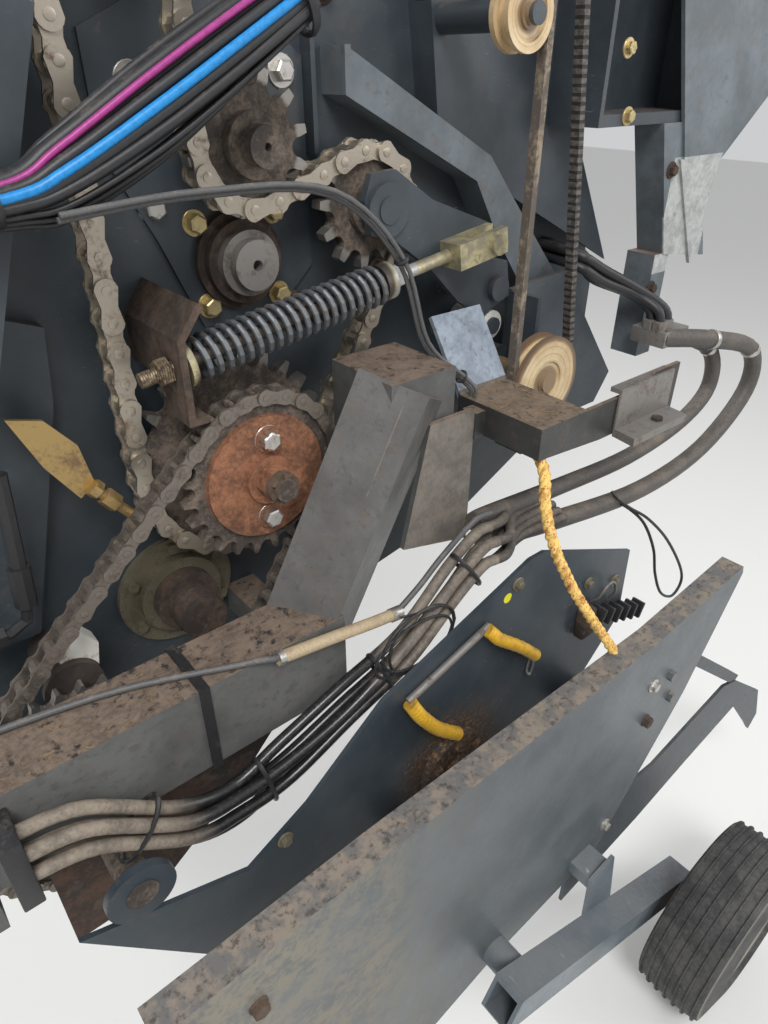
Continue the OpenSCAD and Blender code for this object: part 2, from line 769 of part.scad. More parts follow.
module skirt_plates() {
    color(rust)
        difference() {
            union() {
                plate(20, 5, [[120, -60], [380, -60], [420, -72], [300, -200], [170, -300], [60, -300], [60, -90]]);
                plate(44, 5, [[60, -60], [220, -60], [220, -72], [60, -280]]);
                box([60, 22, -66], [200, 48, -60]);
            }
            bar(pick_c, 0, 60, 18.3);
            box([247, 15, -64], [265, 30, -50]);
        }
}

module pickup_end() {
    color(steel) {
        difference() {
            union() {
                plate(panel_y, 6, [[60, -120], [249, -192], [337, -144], [459, -46], [723, 51], [753, 51],
                    [991, -53], [1000, -200], [800, -420], [340, -420], [200, -330]]);
                bar([589, -263], panel_y - 14, panel_y + 1, 60);
                bar(pick_c, panel_y - 1, panel_y + 9, 38);
                bar([520, -380], cheek_y, panel_y + 1, 30);
                bar([900, -330], cheek_y, panel_y + 1, 30);
            }
            bar(pick_c, panel_y - 5, 60, 18.05);
        }
        for (a = [30 : 60 : 330])
            hex([589 + 46 * cos(a), -263 + 46 * sin(a)], panel_y - 22, panel_y - 13, 8);
        bar([589, -263], panel_y - 40, panel_y - 12, 22);
    }
}

cheek_outline = [[80, -84], [342, -72], [851, -72], [1079, -44], [1085, -60], [995, -269], [817, -550], [563, -579], [434, -616], [250, -560], [80, -250]];

module pickup_plate() {
    color(steel) {
        plate(cheek_y - cheek_t, cheek_t, cheek_outline);
        plate(cheek_y - eps, 30, [[80, -84], [342, -72], [851, -72], [1079, -44], [1079, -49], [851, -77], [342, -77], [80, -88]]);
        hex([920, -180], cheek_y - cheek_t - 8, cheek_y - 1, 9);
        hex([940, -240], cheek_y - cheek_t - 8, cheek_y - 1, 9);
    }
}

module grip_bars() {
    y = panel_y - 6.3;
    color(bright)
        link([494, y, -66], [640, y, -18], 6);
    color(yellow) {
        hose([[632, y - 4.4, -18], [650, y - 12, -40], [700, y - 12, -84], [740, y - 12, -124]], 10);
        hose([[494, y - 4.4, -66], [508, y - 12, -96], [540, y - 12, -140], [580, y - 12, -180]], 10.5);
    }
}

module guard_hook() {
    color(steel) {
        plate(cheek_y + 10, 6, [[775, -470], [830, -460], [1004, -480], [1240, -430], [1299, -452], [1480, -600],
            [1540, -720], [1520, -760], [1470, -700], [1400, -620], [1348, -560], [1160, -600], [1000, -640], [775, -679]]);
        plate(cheek_y + 12, 20, [[975, -190], [990, -176], [1309, -444], [1293, -460]]);
        bar([985, -192], cheek_y, cheek_y + 24, 14);
        bar([800, -500], cheek_y, cheek_y + 12, 14);
    }
}

module gauge_arm() {
    color(steel) {
        difference() {
            translate([498, arm_y - 25, -506])
                rotate([0, 27, 0])
                    translate([0, 0, -arm_h / 2])
                        cube([632, 50, arm_h]);
            translate([490, arm_y - 19, -506])
                rotate([0, 27, 0])
                    translate([0, 0, -arm_h / 2 + 6])
                        cube([300, 38, arm_h - 12]);
        }
        bar([560, -545], arm_y + 20, cheek_y - cheek_t, 24);
        plate(arm_y + 24.8, 7, [[740, -500], [800, -490], [830, -640], [800, -664], [752, -640]]);
        box([744, arm_y + 25, -530], [796, cheek_y - cheek_t, -504]);
        difference() {
            bar(wheel_c, wheel_y - 34, arm_y, 12);
            bar(wheel_c, wheel_y - 36, wheel_y - 30, 4);
        }
    }
}

module gauge_wheel() {
    w = tyre_w / 2;
    rim = tyre_d / 2 - 82;
    color(black)
        translate([wheel_c[0], wheel_y, wheel_c[1]])
            rotate([90, 0, 0])
                rotate_extrude($fn = 32)
                    polygon([[rim, -w + 18], [rim + 20, -w + 2], [tyre_d / 2 - 36, -w], [tyre_d / 2 - 10, -w + 14], [tyre_d / 2, -w + 40], [tyre_d / 2, w - 40], [tyre_d / 2 - 10, w - 14], [tyre_d / 2 - 36, w], [rim + 20, w - 2], [rim, w - 18]]);
    color(rust)
        translate([wheel_c[0], wheel_y, wheel_c[1]])
            rotate([90, 0, 0])
                difference() {
                    union() {
                        cylinder(h = tyre_w - 30, r = rim + 1, center = true);
                        cylinder(h = tyre_w - 40, r = 26, center = true);
                    }
                    for (s = [-1, 1])
                        translate([0, 0, s * (tyre_w / 2 - 15)])
                            difference() {
                                cylinder(h = 60, r = rim - 8, center = true);
                                cylinder(h = 62, r = 28, center = true);
                            }
                    cylinder(h = tyre_w, r = 12.05, center = true);
                }
}

rail();
side_wall();
front_flange();
corner_post();
bearing_block();
roller_shaft();
hub_flange();
rotor_tube();
drive_sprocket();
roll_sprocket();
top_sprocket();
idler_sprocket();
pickup_sprocket();
main_chain();
pickup_chain();
slide_shoe();
tension_arm();
tension_rod();
tension_spring();
spring_bracket();
drive_belt();
belt_pulley();
belt_top_pulley();
belt_roller();
guide_roller();
pulley_plate();
front_panel();
corner_panel();
hose_bracket();
cable_anchor();
hose_elbow();
cable_bundle();
pull_cables();
rail_hoses();
brake_cable();
front_hoses();
rope();
skirt_plates();
pickup_end();
pickup_plate();
grip_bars();
guard_hook();
gauge_arm();
gauge_wheel();
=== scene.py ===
# %% [markdown]
# # The drive corner of a round baler
# This lesson dresses a CAD model of one machine corner with Blender's own tools. The CAD model is loaded
# first as a fixed frame. Its boxes and names tell each new piece where to go, so nothing is placed by eye.

# %% Load the frame
import bpy
import bmesh
import math
import random
from mathutils import Matrix, Vector


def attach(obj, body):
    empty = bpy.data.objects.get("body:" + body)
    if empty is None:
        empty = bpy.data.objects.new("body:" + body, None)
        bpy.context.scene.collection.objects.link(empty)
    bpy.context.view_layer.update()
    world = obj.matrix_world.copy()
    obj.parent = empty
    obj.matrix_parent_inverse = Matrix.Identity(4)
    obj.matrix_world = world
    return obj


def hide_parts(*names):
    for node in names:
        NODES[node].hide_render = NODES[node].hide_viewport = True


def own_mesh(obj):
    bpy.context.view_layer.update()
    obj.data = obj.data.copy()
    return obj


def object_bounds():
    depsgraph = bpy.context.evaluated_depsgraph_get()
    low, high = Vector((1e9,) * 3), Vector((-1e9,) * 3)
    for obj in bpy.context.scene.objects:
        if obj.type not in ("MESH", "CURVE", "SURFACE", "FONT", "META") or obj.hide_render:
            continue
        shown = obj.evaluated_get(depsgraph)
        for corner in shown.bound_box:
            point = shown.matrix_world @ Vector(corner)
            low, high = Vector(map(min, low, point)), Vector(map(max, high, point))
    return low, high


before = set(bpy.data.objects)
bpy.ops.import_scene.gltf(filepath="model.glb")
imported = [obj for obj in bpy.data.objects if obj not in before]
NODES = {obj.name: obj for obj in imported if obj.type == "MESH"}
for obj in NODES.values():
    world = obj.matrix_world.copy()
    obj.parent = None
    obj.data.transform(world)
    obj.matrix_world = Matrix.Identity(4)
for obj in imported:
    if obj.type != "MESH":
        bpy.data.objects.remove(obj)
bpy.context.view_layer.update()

# %% [markdown]
# The photograph was taken from very near, with a wide lens. The camera stands where the photographer's
# eye was, worked out from the vanishing points of the rail, and about 0.8 m off the wall.
# The lens follows from the focal length in pixels, so the frame doesn't depend on the render's size.

# %% Camera
PHOTO_HEIGHT, FOCAL_PIXELS = 1024, 708
camera_data = bpy.data.cameras.new("camera")
camera = bpy.data.objects.new("camera", camera_data)
bpy.context.scene.collection.objects.link(camera)
camera.location = (0.060, -0.584, 0.630)
camera.rotation_euler = (math.radians(57.8), 0, math.radians(-39.5))
camera_data.sensor_fit = "VERTICAL"
camera_data.sensor_height = 36
camera_data.lens = camera_data.sensor_height * FOCAL_PIXELS / PHOTO_HEIGHT
camera_data.clip_start = 0.02
bpy.context.scene.camera = camera
print("camera lens", round(camera_data.lens, 1), "mm")

# %% [markdown]
# A finish is a small tree of shader nodes. Writing `mask * 0.4 + 0.2` is easier to read than wiring Math
# nodes, so one class wraps a socket and turns Python's operators into nodes. Each operator also has its
# reflected form, which lets a number stand first, as in `1 - mask`.

# %% Shader maths
class Sock:
    def __init__(self, finish, out):
        self.finish, self.out = finish, out

    def math(self, op, *values):
        return self.finish.node("ShaderNodeMath", {"operation": op}, values)

    def sin(self):
        return self.math("SINE", self)

    def top(self, o):
        return self.math("MAXIMUM", self, o)


for name, op in (("add", "ADD"), ("sub", "SUBTRACT"), ("mul", "MULTIPLY"), ("pow", "POWER")):
    setattr(Sock, f"__{name}__", lambda a, b, op=op: a.math(op, a, b))
    setattr(Sock, f"__r{name}__", lambda a, b, op=op: a.math(op, b, a))
print("sockets do sums")

# %% [markdown]
# The tree itself is built by one more class. Its `node` method makes any node from a type, its settings and
# its inputs; the short methods after it name the few nodes that every finish here uses. `step` is a soft
# threshold, `fade` goes from one colour to another across it, and `give` feeds the shader.

# %% A finish
class Finish:
    def __init__(self, name):
        self.mat = bpy.data.materials.new(name)
        self.mat.use_nodes = True
        self.tree = self.mat.node_tree
        self.tree.nodes.clear()
        self.shader = self.tree.nodes.new("ShaderNodeBsdfPrincipled")
        end = self.tree.nodes.new("ShaderNodeOutputMaterial")
        self.tree.links.new(self.shader.outputs[0], end.inputs[0])
        coords = self.tree.nodes.new("ShaderNodeTexCoord")
        self.place = Sock(self, coords.outputs["Object"])
        self.normal = Sock(self, coords.outputs["Normal"])

    def node(self, kind, settings, values, output=0):
        n = self.tree.nodes.new(kind)
        for key, value in settings.items():
            setattr(n, key, value)
        items = values.items() if isinstance(values, dict) else enumerate(values)
        for key, value in items:
            if isinstance(value, Sock):
                self.tree.links.new(value.out, n.inputs[key])
            elif value is not None:
                n.inputs[key].default_value = value
        return Sock(self, n.outputs[output])

    def axis(self, k):
        return self.node("ShaderNodeSeparateXYZ", {}, [self.place], k)

    def up(self):
        return self.node("ShaderNodeSeparateXYZ", {}, [self.normal], 2)

    def stretch(self, sx, sy, sz):
        return self.node("ShaderNodeMapping", {}, {"Vector": self.place, "Scale": (sx, sy, sz)})

    def noise(self, scale, detail=4, rough=0.6, at=None):
        return self.node("ShaderNodeTexNoise", {}, {"Vector": at or self.place, "Scale": scale,
                                                    "Detail": detail, "Roughness": rough})

    def cells(self, scale):
        return self.node("ShaderNodeTexVoronoi", {}, {"Vector": self.place, "Scale": scale})

    def step(self, value, low, high):
        return self.node("ShaderNodeMapRange", {"interpolation_type": "SMOOTHSTEP"},
                         {"Value": value, "From Min": low, "From Max": high})

    def mix(self, a, b, mask):
        a = (*a, 1) if isinstance(a, tuple) else a
        b = (*b, 1) if isinstance(b, tuple) else b
        return self.node("ShaderNodeMix", {"data_type": "RGBA"}, {0: mask, 6: a, 7: b}, 2)

    def fade(self, a, b, value, low, high, share=None):
        mask = self.step(value, low, high)
        return self.mix(a, b, mask if share is None else mask * share)

    def give(self, color, rough, bump, depth=0.0004, metal=None):
        bumpy = self.node("ShaderNodeBump", {}, {"Strength": 0.6, "Distance": depth, "Height": bump})
        links = {"Base Color": color, "Roughness": rough, "Metallic": metal, "Normal": bumpy}
        for key, value in links.items():
            if isinstance(value, Sock):
                self.tree.links.new(value.out, self.shader.inputs[key])
            elif value is not None:
                self.shader.inputs[key].default_value = value
        return self.mat


print("a finish has", len([m for m in dir(Finish) if m[0] != "_"]), "methods")

# %% [markdown]
# Dirt and wear follow the machine: they sit round an axle, or on one face of a bent sheet. So a mask is
# often the distance from a turning axis or a small box. Both are worked out from Object coordinates, because
# those stay on the metal when a piece moves.

# %% Masks and shades
def axis_distance(f, x, z):
    dx, dz = f.axis(0) - x, f.axis(2) - z
    return (dx * dx + dz * dz) ** 0.5


def inside_box(f, low, high, soft=0.0006):
    mask = 1
    for k in range(3):
        at = f.axis(k)
        mask = f.step(at, low[k] - soft, low[k]) * f.step(at, high[k] + soft, high[k]) * mask
    return mask


def dim(color, share):
    return tuple(min(1, c * share) for c in color)


print("half of a mid grey is", dim((0.2, 0.2, 0.2), 0.5))

# %% [markdown]
# ## Farm-worn paint
# The sheet metal is dark blue-grey paint. Years of crop dust leave a brown film on what faces up, small
# rust spots break through, and straws leave fine pale scratches. A painted texture could show that, but
# three noises at three sizes give all of it, and the surface normal says what faces up.

# %% Worn grey paint
def worn_paint(name, base, film, film_share=0.5, spots=0.6, rough=0.45):
    f = Finish(name)
    cloud, fine = f.noise(7, 5, 0.65), f.noise(90, 6, 0.7)
    tint = f.fade(dim(base, 0.72), dim(base, 1.25), cloud, 0.3, 0.7)
    dusty = f.step(cloud * 0.6 + fine * 0.4 + f.up() * 0.16, 0.62 - 0.2 * film_share, 0.72)
    tint = f.mix(tint, film, dusty * film_share)
    rust = f.step(f.noise(34, 8, 0.75) + fine * 0.25, 0.80 - 0.06 * spots, 0.86)
    tint = f.mix(tint, (0.13, 0.055, 0.025), rust * spots)
    scratch = f.step(f.noise(60, 2, 0.4, f.stretch(1, 1, 9)), 0.71, 0.76) * f.step(cloud, 0.45, 0.6)
    speck = f.step(f.cells(150), 0.10, 0.05) * f.step(cloud, 0.5, 0.56)
    tint = f.mix(tint, tuple(min(1, c * 3 + 0.1) for c in base), scratch.top(speck) * 0.4)
    shine = (dusty * 0.3 + rust * 0.3 + fine * 0.2) + (rough - 0.1)
    return f.give(tint, shine, fine * 0.4 + rust + cloud * 0.5, 0.0006)


paint_dark = worn_paint("paint_dark", (0.042, 0.052, 0.062), (0.13, 0.09, 0.06), 0.45, 0.4)
paint_wall = worn_paint("paint_wall", (0.036, 0.046, 0.055), (0.12, 0.08, 0.052), 0.5, 0.5)
paint_light = worn_paint("paint_light", (0.13, 0.155, 0.175), (0.15, 0.11, 0.08), 0.3, 0.2, 0.38)
print("worn paints made")

# %% [markdown]
# The big outer plate has dried mud on its lower front half and bare, blotched metal along its top edge. The
# mud follows the distance along the machine, so it thins out towards the back as on the real plate.

# %% Outer plate
def plate_finish():
    f = Finish("plate_paint")
    cloud, mid, fine = f.noise(8, 5, 0.65), f.noise(34, 6, 0.7), f.noise(140, 6, 0.75)
    tint = f.fade((0.066, 0.078, 0.086), (0.105, 0.118, 0.125), cloud, 0.32, 0.68)
    mud = f.step(f.axis(0) * 0.9 + cloud * 0.45, 0.72, 0.34) * f.step(mid * 0.5 + fine * 0.5, 0.40, 0.56)
    tint = f.mix(tint, (0.27, 0.235, 0.17), mud * 0.75)
    worn = f.fade((0.14, 0.135, 0.13), (0.24, 0.20, 0.16), mid, 0.42, 0.6)
    worn = f.fade(worn, (0.045, 0.036, 0.033), f.noise(120, 5, 0.7), 0.50, 0.66, 0.75)
    tint = f.fade(tint, worn, f.up(), 0.5, 0.9)
    speck = f.step(f.cells(160), 0.09, 0.05) * f.step(cloud, 0.48, 0.54)
    tint = f.mix(tint, (0.38, 0.37, 0.35), speck * 0.6)
    return f.give(tint, fine * 0.2 + mud * 0.2 + 0.3, fine * 0.4 + mid * 0.3, 0.0005)


paint_plate = plate_finish()
print("outer plate's paint made")

# %% [markdown]
# The pickup's inner panel is cleaner, but brown chaff packs round its bearing, and it has one yellow paint
# dot. The chaff is drawn by the distance from the bearing's axis, and its edge is broken up by noise.

# %% Inner panel
BEARING, DOT = (0.589, -0.263), (0.682, 0.004)


def panel_finish():
    f = Finish("panel_paint")
    mid, fine = f.noise(30, 6, 0.7), f.noise(130, 6, 0.75)
    tint = f.fade((0.028, 0.040, 0.052), (0.055, 0.068, 0.080), f.noise(6, 4, 0.6), 0.35, 0.65)
    tint = f.fade(tint, (0.12, 0.085, 0.06), mid * 0.6 + fine * 0.4, 0.54, 0.66, 0.6)
    chaff = f.step(axis_distance(f, *BEARING) + mid * 0.12, 0.20, 0.11) * f.step(fine, 0.36, 0.5)
    tint = f.mix(tint, f.fade((0.055, 0.032, 0.022), (0.22, 0.13, 0.07), fine, 0.45, 0.62), chaff)
    tint = f.fade(tint, (0.75, 0.72, 0.02), axis_distance(f, *DOT) + fine * 0.004, 0.0105, 0.0095)
    return f.give(tint, chaff * 0.35 + fine * 0.2 + 0.32, fine * 0.4 + chaff * fine * 1.2, 0.0008)


panel = panel_finish()
print("inner panel's paint made")

# %% [markdown]
# The rail, the tray and the front sheets look different from above and from the side: the top is brown with black
# blots, the flank stays grey. One finish mixes the two by the normal. A box mask adds the one patch that differs,
# such as the tray's bare upright. On the tray the flank colour is near-black painted shade, and on the corner sheet
# the patch is a pale painted reflection.

# %% Two-faced sheet
def two_faced(name, side, top, spot, spot_share=0.5, patch=None):
    f = Finish(name)
    cloud, mid, fine = f.noise(9, 5, 0.65), f.noise(38, 6, 0.7), f.noise(150, 6, 0.75)
    up = f.step(f.up(), 0.35, 0.75)
    flank = f.fade(dim(side, 0.7), dim(side, 1.3), cloud, 0.3, 0.7)
    flank = f.fade(flank, dim(top, 0.7), mid * 0.7 + fine * 0.3, 0.50, 0.66, 0.5)
    crown = f.fade(dim(top, 0.62), dim(top, 1.25), mid * 0.5 + fine * 0.5, 0.36, 0.62)
    blots = f.step(f.noise(80, 4, 0.65) * 0.75 + cloud * 0.25, 0.60 - 0.07 * spot_share, 0.66)
    tint = f.mix(f.mix(flank, crown, up), spot, blots * up.top(0.25))
    pale = f.step(f.cells(190), 0.11, 0.05) * f.step(cloud, 0.46, 0.54)
    tint = f.mix(tint, (0.32, 0.30, 0.27), pale * 0.5)
    if patch:
        low, high, color = patch
        plain = f.fade(dim(color, 0.75), dim(color, 1.2), mid * 0.6 + fine * 0.4, 0.38, 0.6)
        tint = f.mix(tint, plain, inside_box(f, low, high) * (1 - blots * 0.5))
    return f.give(tint, up * 0.25 + fine * 0.2 + 0.36, fine * 0.5 + blots * 0.6 + mid * 0.4, 0.0006)


paint_rail = two_faced("paint_rail", (0.100, 0.101, 0.098), (0.165, 0.122, 0.092), (0.020, 0.018, 0.018), 1.0,
                       ((0.50, -0.0183, 0.0), (0.70, -0.0178, 0.3), (0.165, 0.145, 0.125)))
# The tray's near-black flank colour is painted shade on its side faces.
tray_paint_and_shade = two_faced("tray_paint_and_shade", (0.036, 0.036, 0.036), (0.165, 0.12, 0.085), (0.02, 0.016, 0.014), 0.9,
                       ((0.60, 0.0304, 0.2), (0.80, 0.5, 0.5), (0.23, 0.27, 0.32)))
# The pale grey patch on the corner sheet is a painted reflection on the sheet's face.
corner_paint_and_reflection = two_faced("corner_paint_and_reflection", (0.115, 0.135, 0.15), (0.15, 0.11, 0.085), (0.05, 0.03, 0.022), 0.3,
                         ((1.160, 0.0515, 0.340), (1.292, 0.0585, 0.512), (0.36, 0.37, 0.36)))
paint_flange = two_faced("paint_flange", (0.12, 0.14, 0.155), (0.17, 0.12, 0.085), (0.05, 0.03, 0.022), 0.4)
print("two-faced paints made")

# %% [markdown]
# ## Rust, bare steel and zinc
# Rust is orange and dark brown in patches with a matte, grainy skin. Chain plates are bare steel that the
# rollers keep clean, with brown stains in the hollows. Zinc plating goes dull and yellow. Where dirt lies,
# the metal stops shining, so one mask drives colour, roughness and metallic together.

# %% Metals
def rusty(name, light, dark, grey):
    f = Finish(name)
    big, fine = f.noise(16, 6, 0.7), f.noise(140, 6, 0.75)
    bare = f.step(f.noise(28, 3, 0.6), 0.6, 0.7) * grey
    tint = f.mix(f.fade(dark, light, big * 0.7 + fine * 0.3, 0.40, 0.62), (0.22, 0.21, 0.20), bare)
    return f.give(tint, 0.9 - bare * 0.4, fine + big * 0.6, 0.0008, bare * 0.7)


def steel(name, clean, stain, share, rough=0.38, metal=0.85):
    f = Finish(name)
    big, fine = f.noise(38, 6, 0.7), f.noise(260, 4, 0.7)
    dirt = f.step(big * 0.75 + fine * 0.25, 0.62 - 0.3 * share, 0.68)
    return f.give(f.mix(clean, stain, dirt), dirt * 0.45 + rough, fine + big * 0.4, 0.0003, (1 - dirt) * metal)


rust_plate = rusty("rust_plate", (0.095, 0.052, 0.034), (0.03, 0.022, 0.018), 0.12)
rust_dark = rusty("rust_dark", (0.115, 0.075, 0.052), (0.035, 0.026, 0.021), 0.35)
chain_bright = steel("chain_bright", (0.44, 0.39, 0.32), (0.15, 0.095, 0.06), 0.4)
chain_brown = steel("chain_brown", (0.24, 0.21, 0.18), (0.07, 0.05, 0.038), 0.6, 0.42)
zinc_yellow = steel("zinc_yellow", (0.50, 0.40, 0.20), (0.16, 0.11, 0.06), 0.45, 0.38, 0.7)
zinc_brown = steel("zinc_brown", (0.42, 0.29, 0.12), (0.13, 0.075, 0.04), 0.5, 0.36, 0.75)
steel_grey = steel("steel_grey", (0.22, 0.205, 0.19), (0.09, 0.065, 0.05), 0.45, 0.5, 0.4)
zinc_green = steel("zinc_green", (0.23, 0.205, 0.14), (0.08, 0.058, 0.04), 0.55, 0.45, 0.55)
bright = steel("bright", (0.5, 0.48, 0.45), (0.18, 0.13, 0.09), 0.3, 0.35)
spring_steel = steel("spring_steel", (0.16, 0.17, 0.18), (0.10, 0.075, 0.055), 0.4, 0.42, 0.55)
print("metals made")

# %% [markdown]
# The tension rod is one solid with four looks along it: a zinc fork, a bright nut, a dark shank inside the
# spring, and a rusty thread. They are bands of X. The thread itself is a sine wave in the bump.

# %% Tension rod
THREAD_PITCH = 0.0026


def rod_finish():
    f = Finish("rod_zinc_and_rust")
    x, mid, fine = f.axis(0), f.noise(45, 5, 0.7), f.noise(220, 4, 0.7)
    threaded = f.step(x, 0.338, 0.333)
    shank = f.step(x, 0.345, 0.352) * f.step(x, 0.614, 0.608)
    nut_band = f.step(x, 0.612, 0.616) * f.step(x, 0.662, 0.658)
    tint = f.fade((0.30, 0.27, 0.19), (0.50, 0.44, 0.26), mid, 0.4, 0.6)
    tint = f.mix(tint, f.mix((0.05, 0.042, 0.036), (0.13, 0.11, 0.09), fine), shank)
    tint = f.mix(tint, (0.42, 0.42, 0.41), nut_band)
    tint = f.mix(tint, f.fade((0.11, 0.08, 0.055), (0.28, 0.22, 0.14), fine, 0.4, 0.6), threaded)
    tint = f.fade(tint, (0.08, 0.055, 0.04), mid * 0.6 + fine * 0.4, 0.56, 0.66, 0.7)
    thread = (x * (math.tau / THREAD_PITCH)).sin() * threaded
    return f.give(tint, fine * 0.3 + 0.28, thread * 0.5 + fine * 0.3, 0.0008, 0.55)


rod_zinc = rod_finish()
print("rod has a thread of", THREAD_PITCH * 1000, "mm")

# %% [markdown]
# A sprocket's teeth are polished by the chain, its body is dark with oil and dust, and on the drive sprocket
# the outer disc has gone orange. The distance from the axis and the place across the machine say which is
# which. The wheel centres are named once, since the chains need them too.

# %% Sprockets
DRIVE, ROLL, TOP = (0.416, 0.222), (0.472, 0.562), (0.356, 0.790)
IDLER, PICK = (0.626, 0.488), (0.129, -0.108)


def sprocket(name, centre, bright_from, disc=None):
    f = Finish(name)
    far, big, fine = axis_distance(f, *centre), f.noise(22, 6, 0.7), f.noise(170, 6, 0.75)
    tint = f.fade((0.045, 0.036, 0.03), (0.17, 0.13, 0.10), big * 0.6 + fine * 0.4, 0.42, 0.62)
    worn = f.step(far + fine * 0.006, bright_from, bright_from + 0.006)
    tint = f.mix(tint, (0.36, 0.34, 0.31), worn * 0.8)
    if disc:
        orange = f.fade((0.10, 0.045, 0.025), (0.33, 0.14, 0.07), big * 0.55 + fine * 0.45, 0.38, 0.64)
        on = f.step(f.axis(1), disc + 0.002, disc) * f.step(far, 0.012, 0.020) * f.step(far, 0.0772, 0.0762)
        tint = f.mix(tint, orange, on)
        worn = worn * (1 - on)
    return f.give(tint, 0.8 - worn * 0.4, fine + big * 0.5, 0.0006, worn * 0.8)


teeth_drive = sprocket("sprocket_drive", DRIVE, 0.118, 0.0712)
teeth_roll = sprocket("sprocket_roll", ROLL, 0.058)
teeth_top = sprocket("sprocket_top", TOP, 0.058)
teeth_idler = sprocket("sprocket_idler", IDLER, 0.058)
teeth_pickup = sprocket("sprocket_pickup", PICK, 0.140)
print("five sprocket finishes made")

# %% [markdown]
# ## Rubber and plastic
# Hoses are matte black rubber that has gone grey and brown with dust. The grips, the sheath and the lines
# are plastics under the same film. One finish with a base and a dust colour serves them all.

# %% Dusty rubber and plastic
def dusty(name, base, dust, share, rough=0.6, scale=25, depth=0.0003):
    f = Finish(name)
    big, fine = f.noise(scale, 5, 0.65), f.noise(scale * 9, 5, 0.7)
    film = f.step(big * 0.6 + fine * 0.3 + f.up() * 0.1, 0.64 - 0.3 * share, 0.72)
    tint = f.mix(f.fade(dim(base, 0.75), base, fine, 0.35, 0.6), dust, film * 0.8)
    return f.give(tint, film * 0.25 + rough, fine + big * 0.3, depth)


hose_black = dusty("hose_black", (0.022, 0.022, 0.024), (0.12, 0.105, 0.09), 0.35, 0.45)
hose_dusty = dusty("hose_dusty", (0.055, 0.048, 0.043), (0.22, 0.18, 0.14), 0.75, 0.6)
hose_grey = dusty("hose_grey", (0.085, 0.076, 0.068), (0.22, 0.175, 0.13), 0.6, 0.55)
cable_grey = dusty("cable_grey", (0.10, 0.10, 0.10), (0.22, 0.19, 0.16), 0.5, 0.5, 60)
tyre_rubber = dusty("tyre_rubber", (0.055, 0.055, 0.056), (0.16, 0.155, 0.145), 0.5, 0.72)
white_plastic = dusty("white_plastic", (0.68, 0.67, 0.62), (0.25, 0.2, 0.15), 0.3, 0.5)
yellow_grip = dusty("yellow_grip", (0.78, 0.45, 0.03), (0.17, 0.075, 0.035), 0.68, 0.4, 60)
beige_sheath = dusty("beige_sheath", (0.46, 0.36, 0.23), (0.2, 0.14, 0.09), 0.3, 0.6, 50)
blue_line = dusty("blue_line", (0.01, 0.24, 0.60), (0.10, 0.12, 0.16), 0.2, 0.4)
pink_line = dusty("pink_line", (0.35, 0.035, 0.22), (0.15, 0.08, 0.12), 0.2, 0.4)
straw_dry = dusty("straw_dry", (0.26, 0.175, 0.085), (0.12, 0.07, 0.035), 0.5, 0.75, 120)
print("dusty finishes made")

# %% [markdown]
# Four things need more than a film of dust. The rope has red flecks in yellow fibre, the shoe is white
# plastic on a black hub, the hoses along the rail go from dry grey to wet black and back, and the tyre's
# grooves hold pale earth. Each has a finish of its own, built from the same masks.

# %% Rope, shoe, hoses and tyre
SHOE, TYRE_AXLE, TYRE_MIDDLE = (0.157, 0.020), (1.045, -0.783), -0.423
TYRE_R, TYRE_W, CROWN_DROP = 0.180, 0.140, 0.055


def rope_finish():
    f = Finish("rope_yellow")
    big, fine = f.noise(70, 5, 0.65), f.noise(330, 4, 0.6)
    tint = f.fade((0.50, 0.28, 0.07), (0.80, 0.55, 0.16), big, 0.38, 0.56)
    tint = f.fade(tint, (0.38, 0.045, 0.03), fine, 0.565, 0.62)
    return f.give(tint, fine * 0.1 + 0.7, fine, 0.0007)


def shoe_finish():
    f = Finish("shoe_white_and_black")
    fine = f.noise(120, 5, 0.7)
    tint = f.fade((0.70, 0.68, 0.62), (0.34, 0.27, 0.20), f.noise(40, 5, 0.7), 0.5, 0.68)
    hub = f.mix((0.02, 0.02, 0.022), (0.10, 0.075, 0.06), fine)
    return f.give(f.fade(tint, hub, axis_distance(f, *SHOE), 0.036, 0.0345), 0.55, fine, 0.0004)


def hose_finish():
    f = Finish("hose_along_rail")
    x, mid, fine = f.axis(0), f.noise(24, 5, 0.65), f.noise(200, 5, 0.7)
    dry = f.step(x + mid * 0.08, 0.27, 0.21).top(f.step(x + mid * 0.12, 0.50, 0.60) * 0.8)
    dusted = f.fade((0.13, 0.108, 0.088), (0.27, 0.225, 0.175), mid * 0.6 + fine * 0.4, 0.38, 0.62)
    tint = f.mix(f.fade((0.012, 0.012, 0.013), (0.05, 0.048, 0.046), fine, 0.5, 0.7), dusted, dry)
    return f.give(tint, dry * 0.4 + 0.28, fine * 0.4 + mid * 0.3, 0.0004)


def tyre_finish():
    f = Finish("tyre_ribs")
    share = f.node("ShaderNodeMath", {"operation": "ABSOLUTE"}, [(f.axis(1) - TYRE_MIDDLE) * (2 / TYRE_W)])
    crown = TYRE_R - share * share * share * (TYRE_R * CROWN_DROP)
    groove = f.step(crown - axis_distance(f, *TYRE_AXLE), 0.0018, 0.0038) * f.step(share, 0.90, 0.84)
    mid, fine = f.noise(18, 5, 0.65), f.noise(150, 5, 0.7)
    tint = f.fade((0.032, 0.032, 0.033), (0.085, 0.082, 0.078), mid * 0.6 + fine * 0.4, 0.40, 0.62)
    return f.give(f.mix(tint, (0.34, 0.31, 0.26), groove), 0.72, fine * 0.5, 0.0005)


rope_yellow, shoe, hose_look, tyre_look = rope_finish(), shoe_finish(), hose_finish(), tyre_finish()
print("rope, shoe, hoses and tyre have their finishes")

# %% [markdown]
# The pulleys are cream plastic, darker brown at the rim where the belt runs and in a ring round the hub. Rings of a
# sine wave round the axis are painted shade, standing for the shading rings of the turned face, and the same rings
# give a small relief in the bump. The belt is flat and brown on its left run. Its right run shows the ribbed side,
# which is a second sine wave along Z.

# %% Pulleys and belt
RIB_PITCH = 0.0095


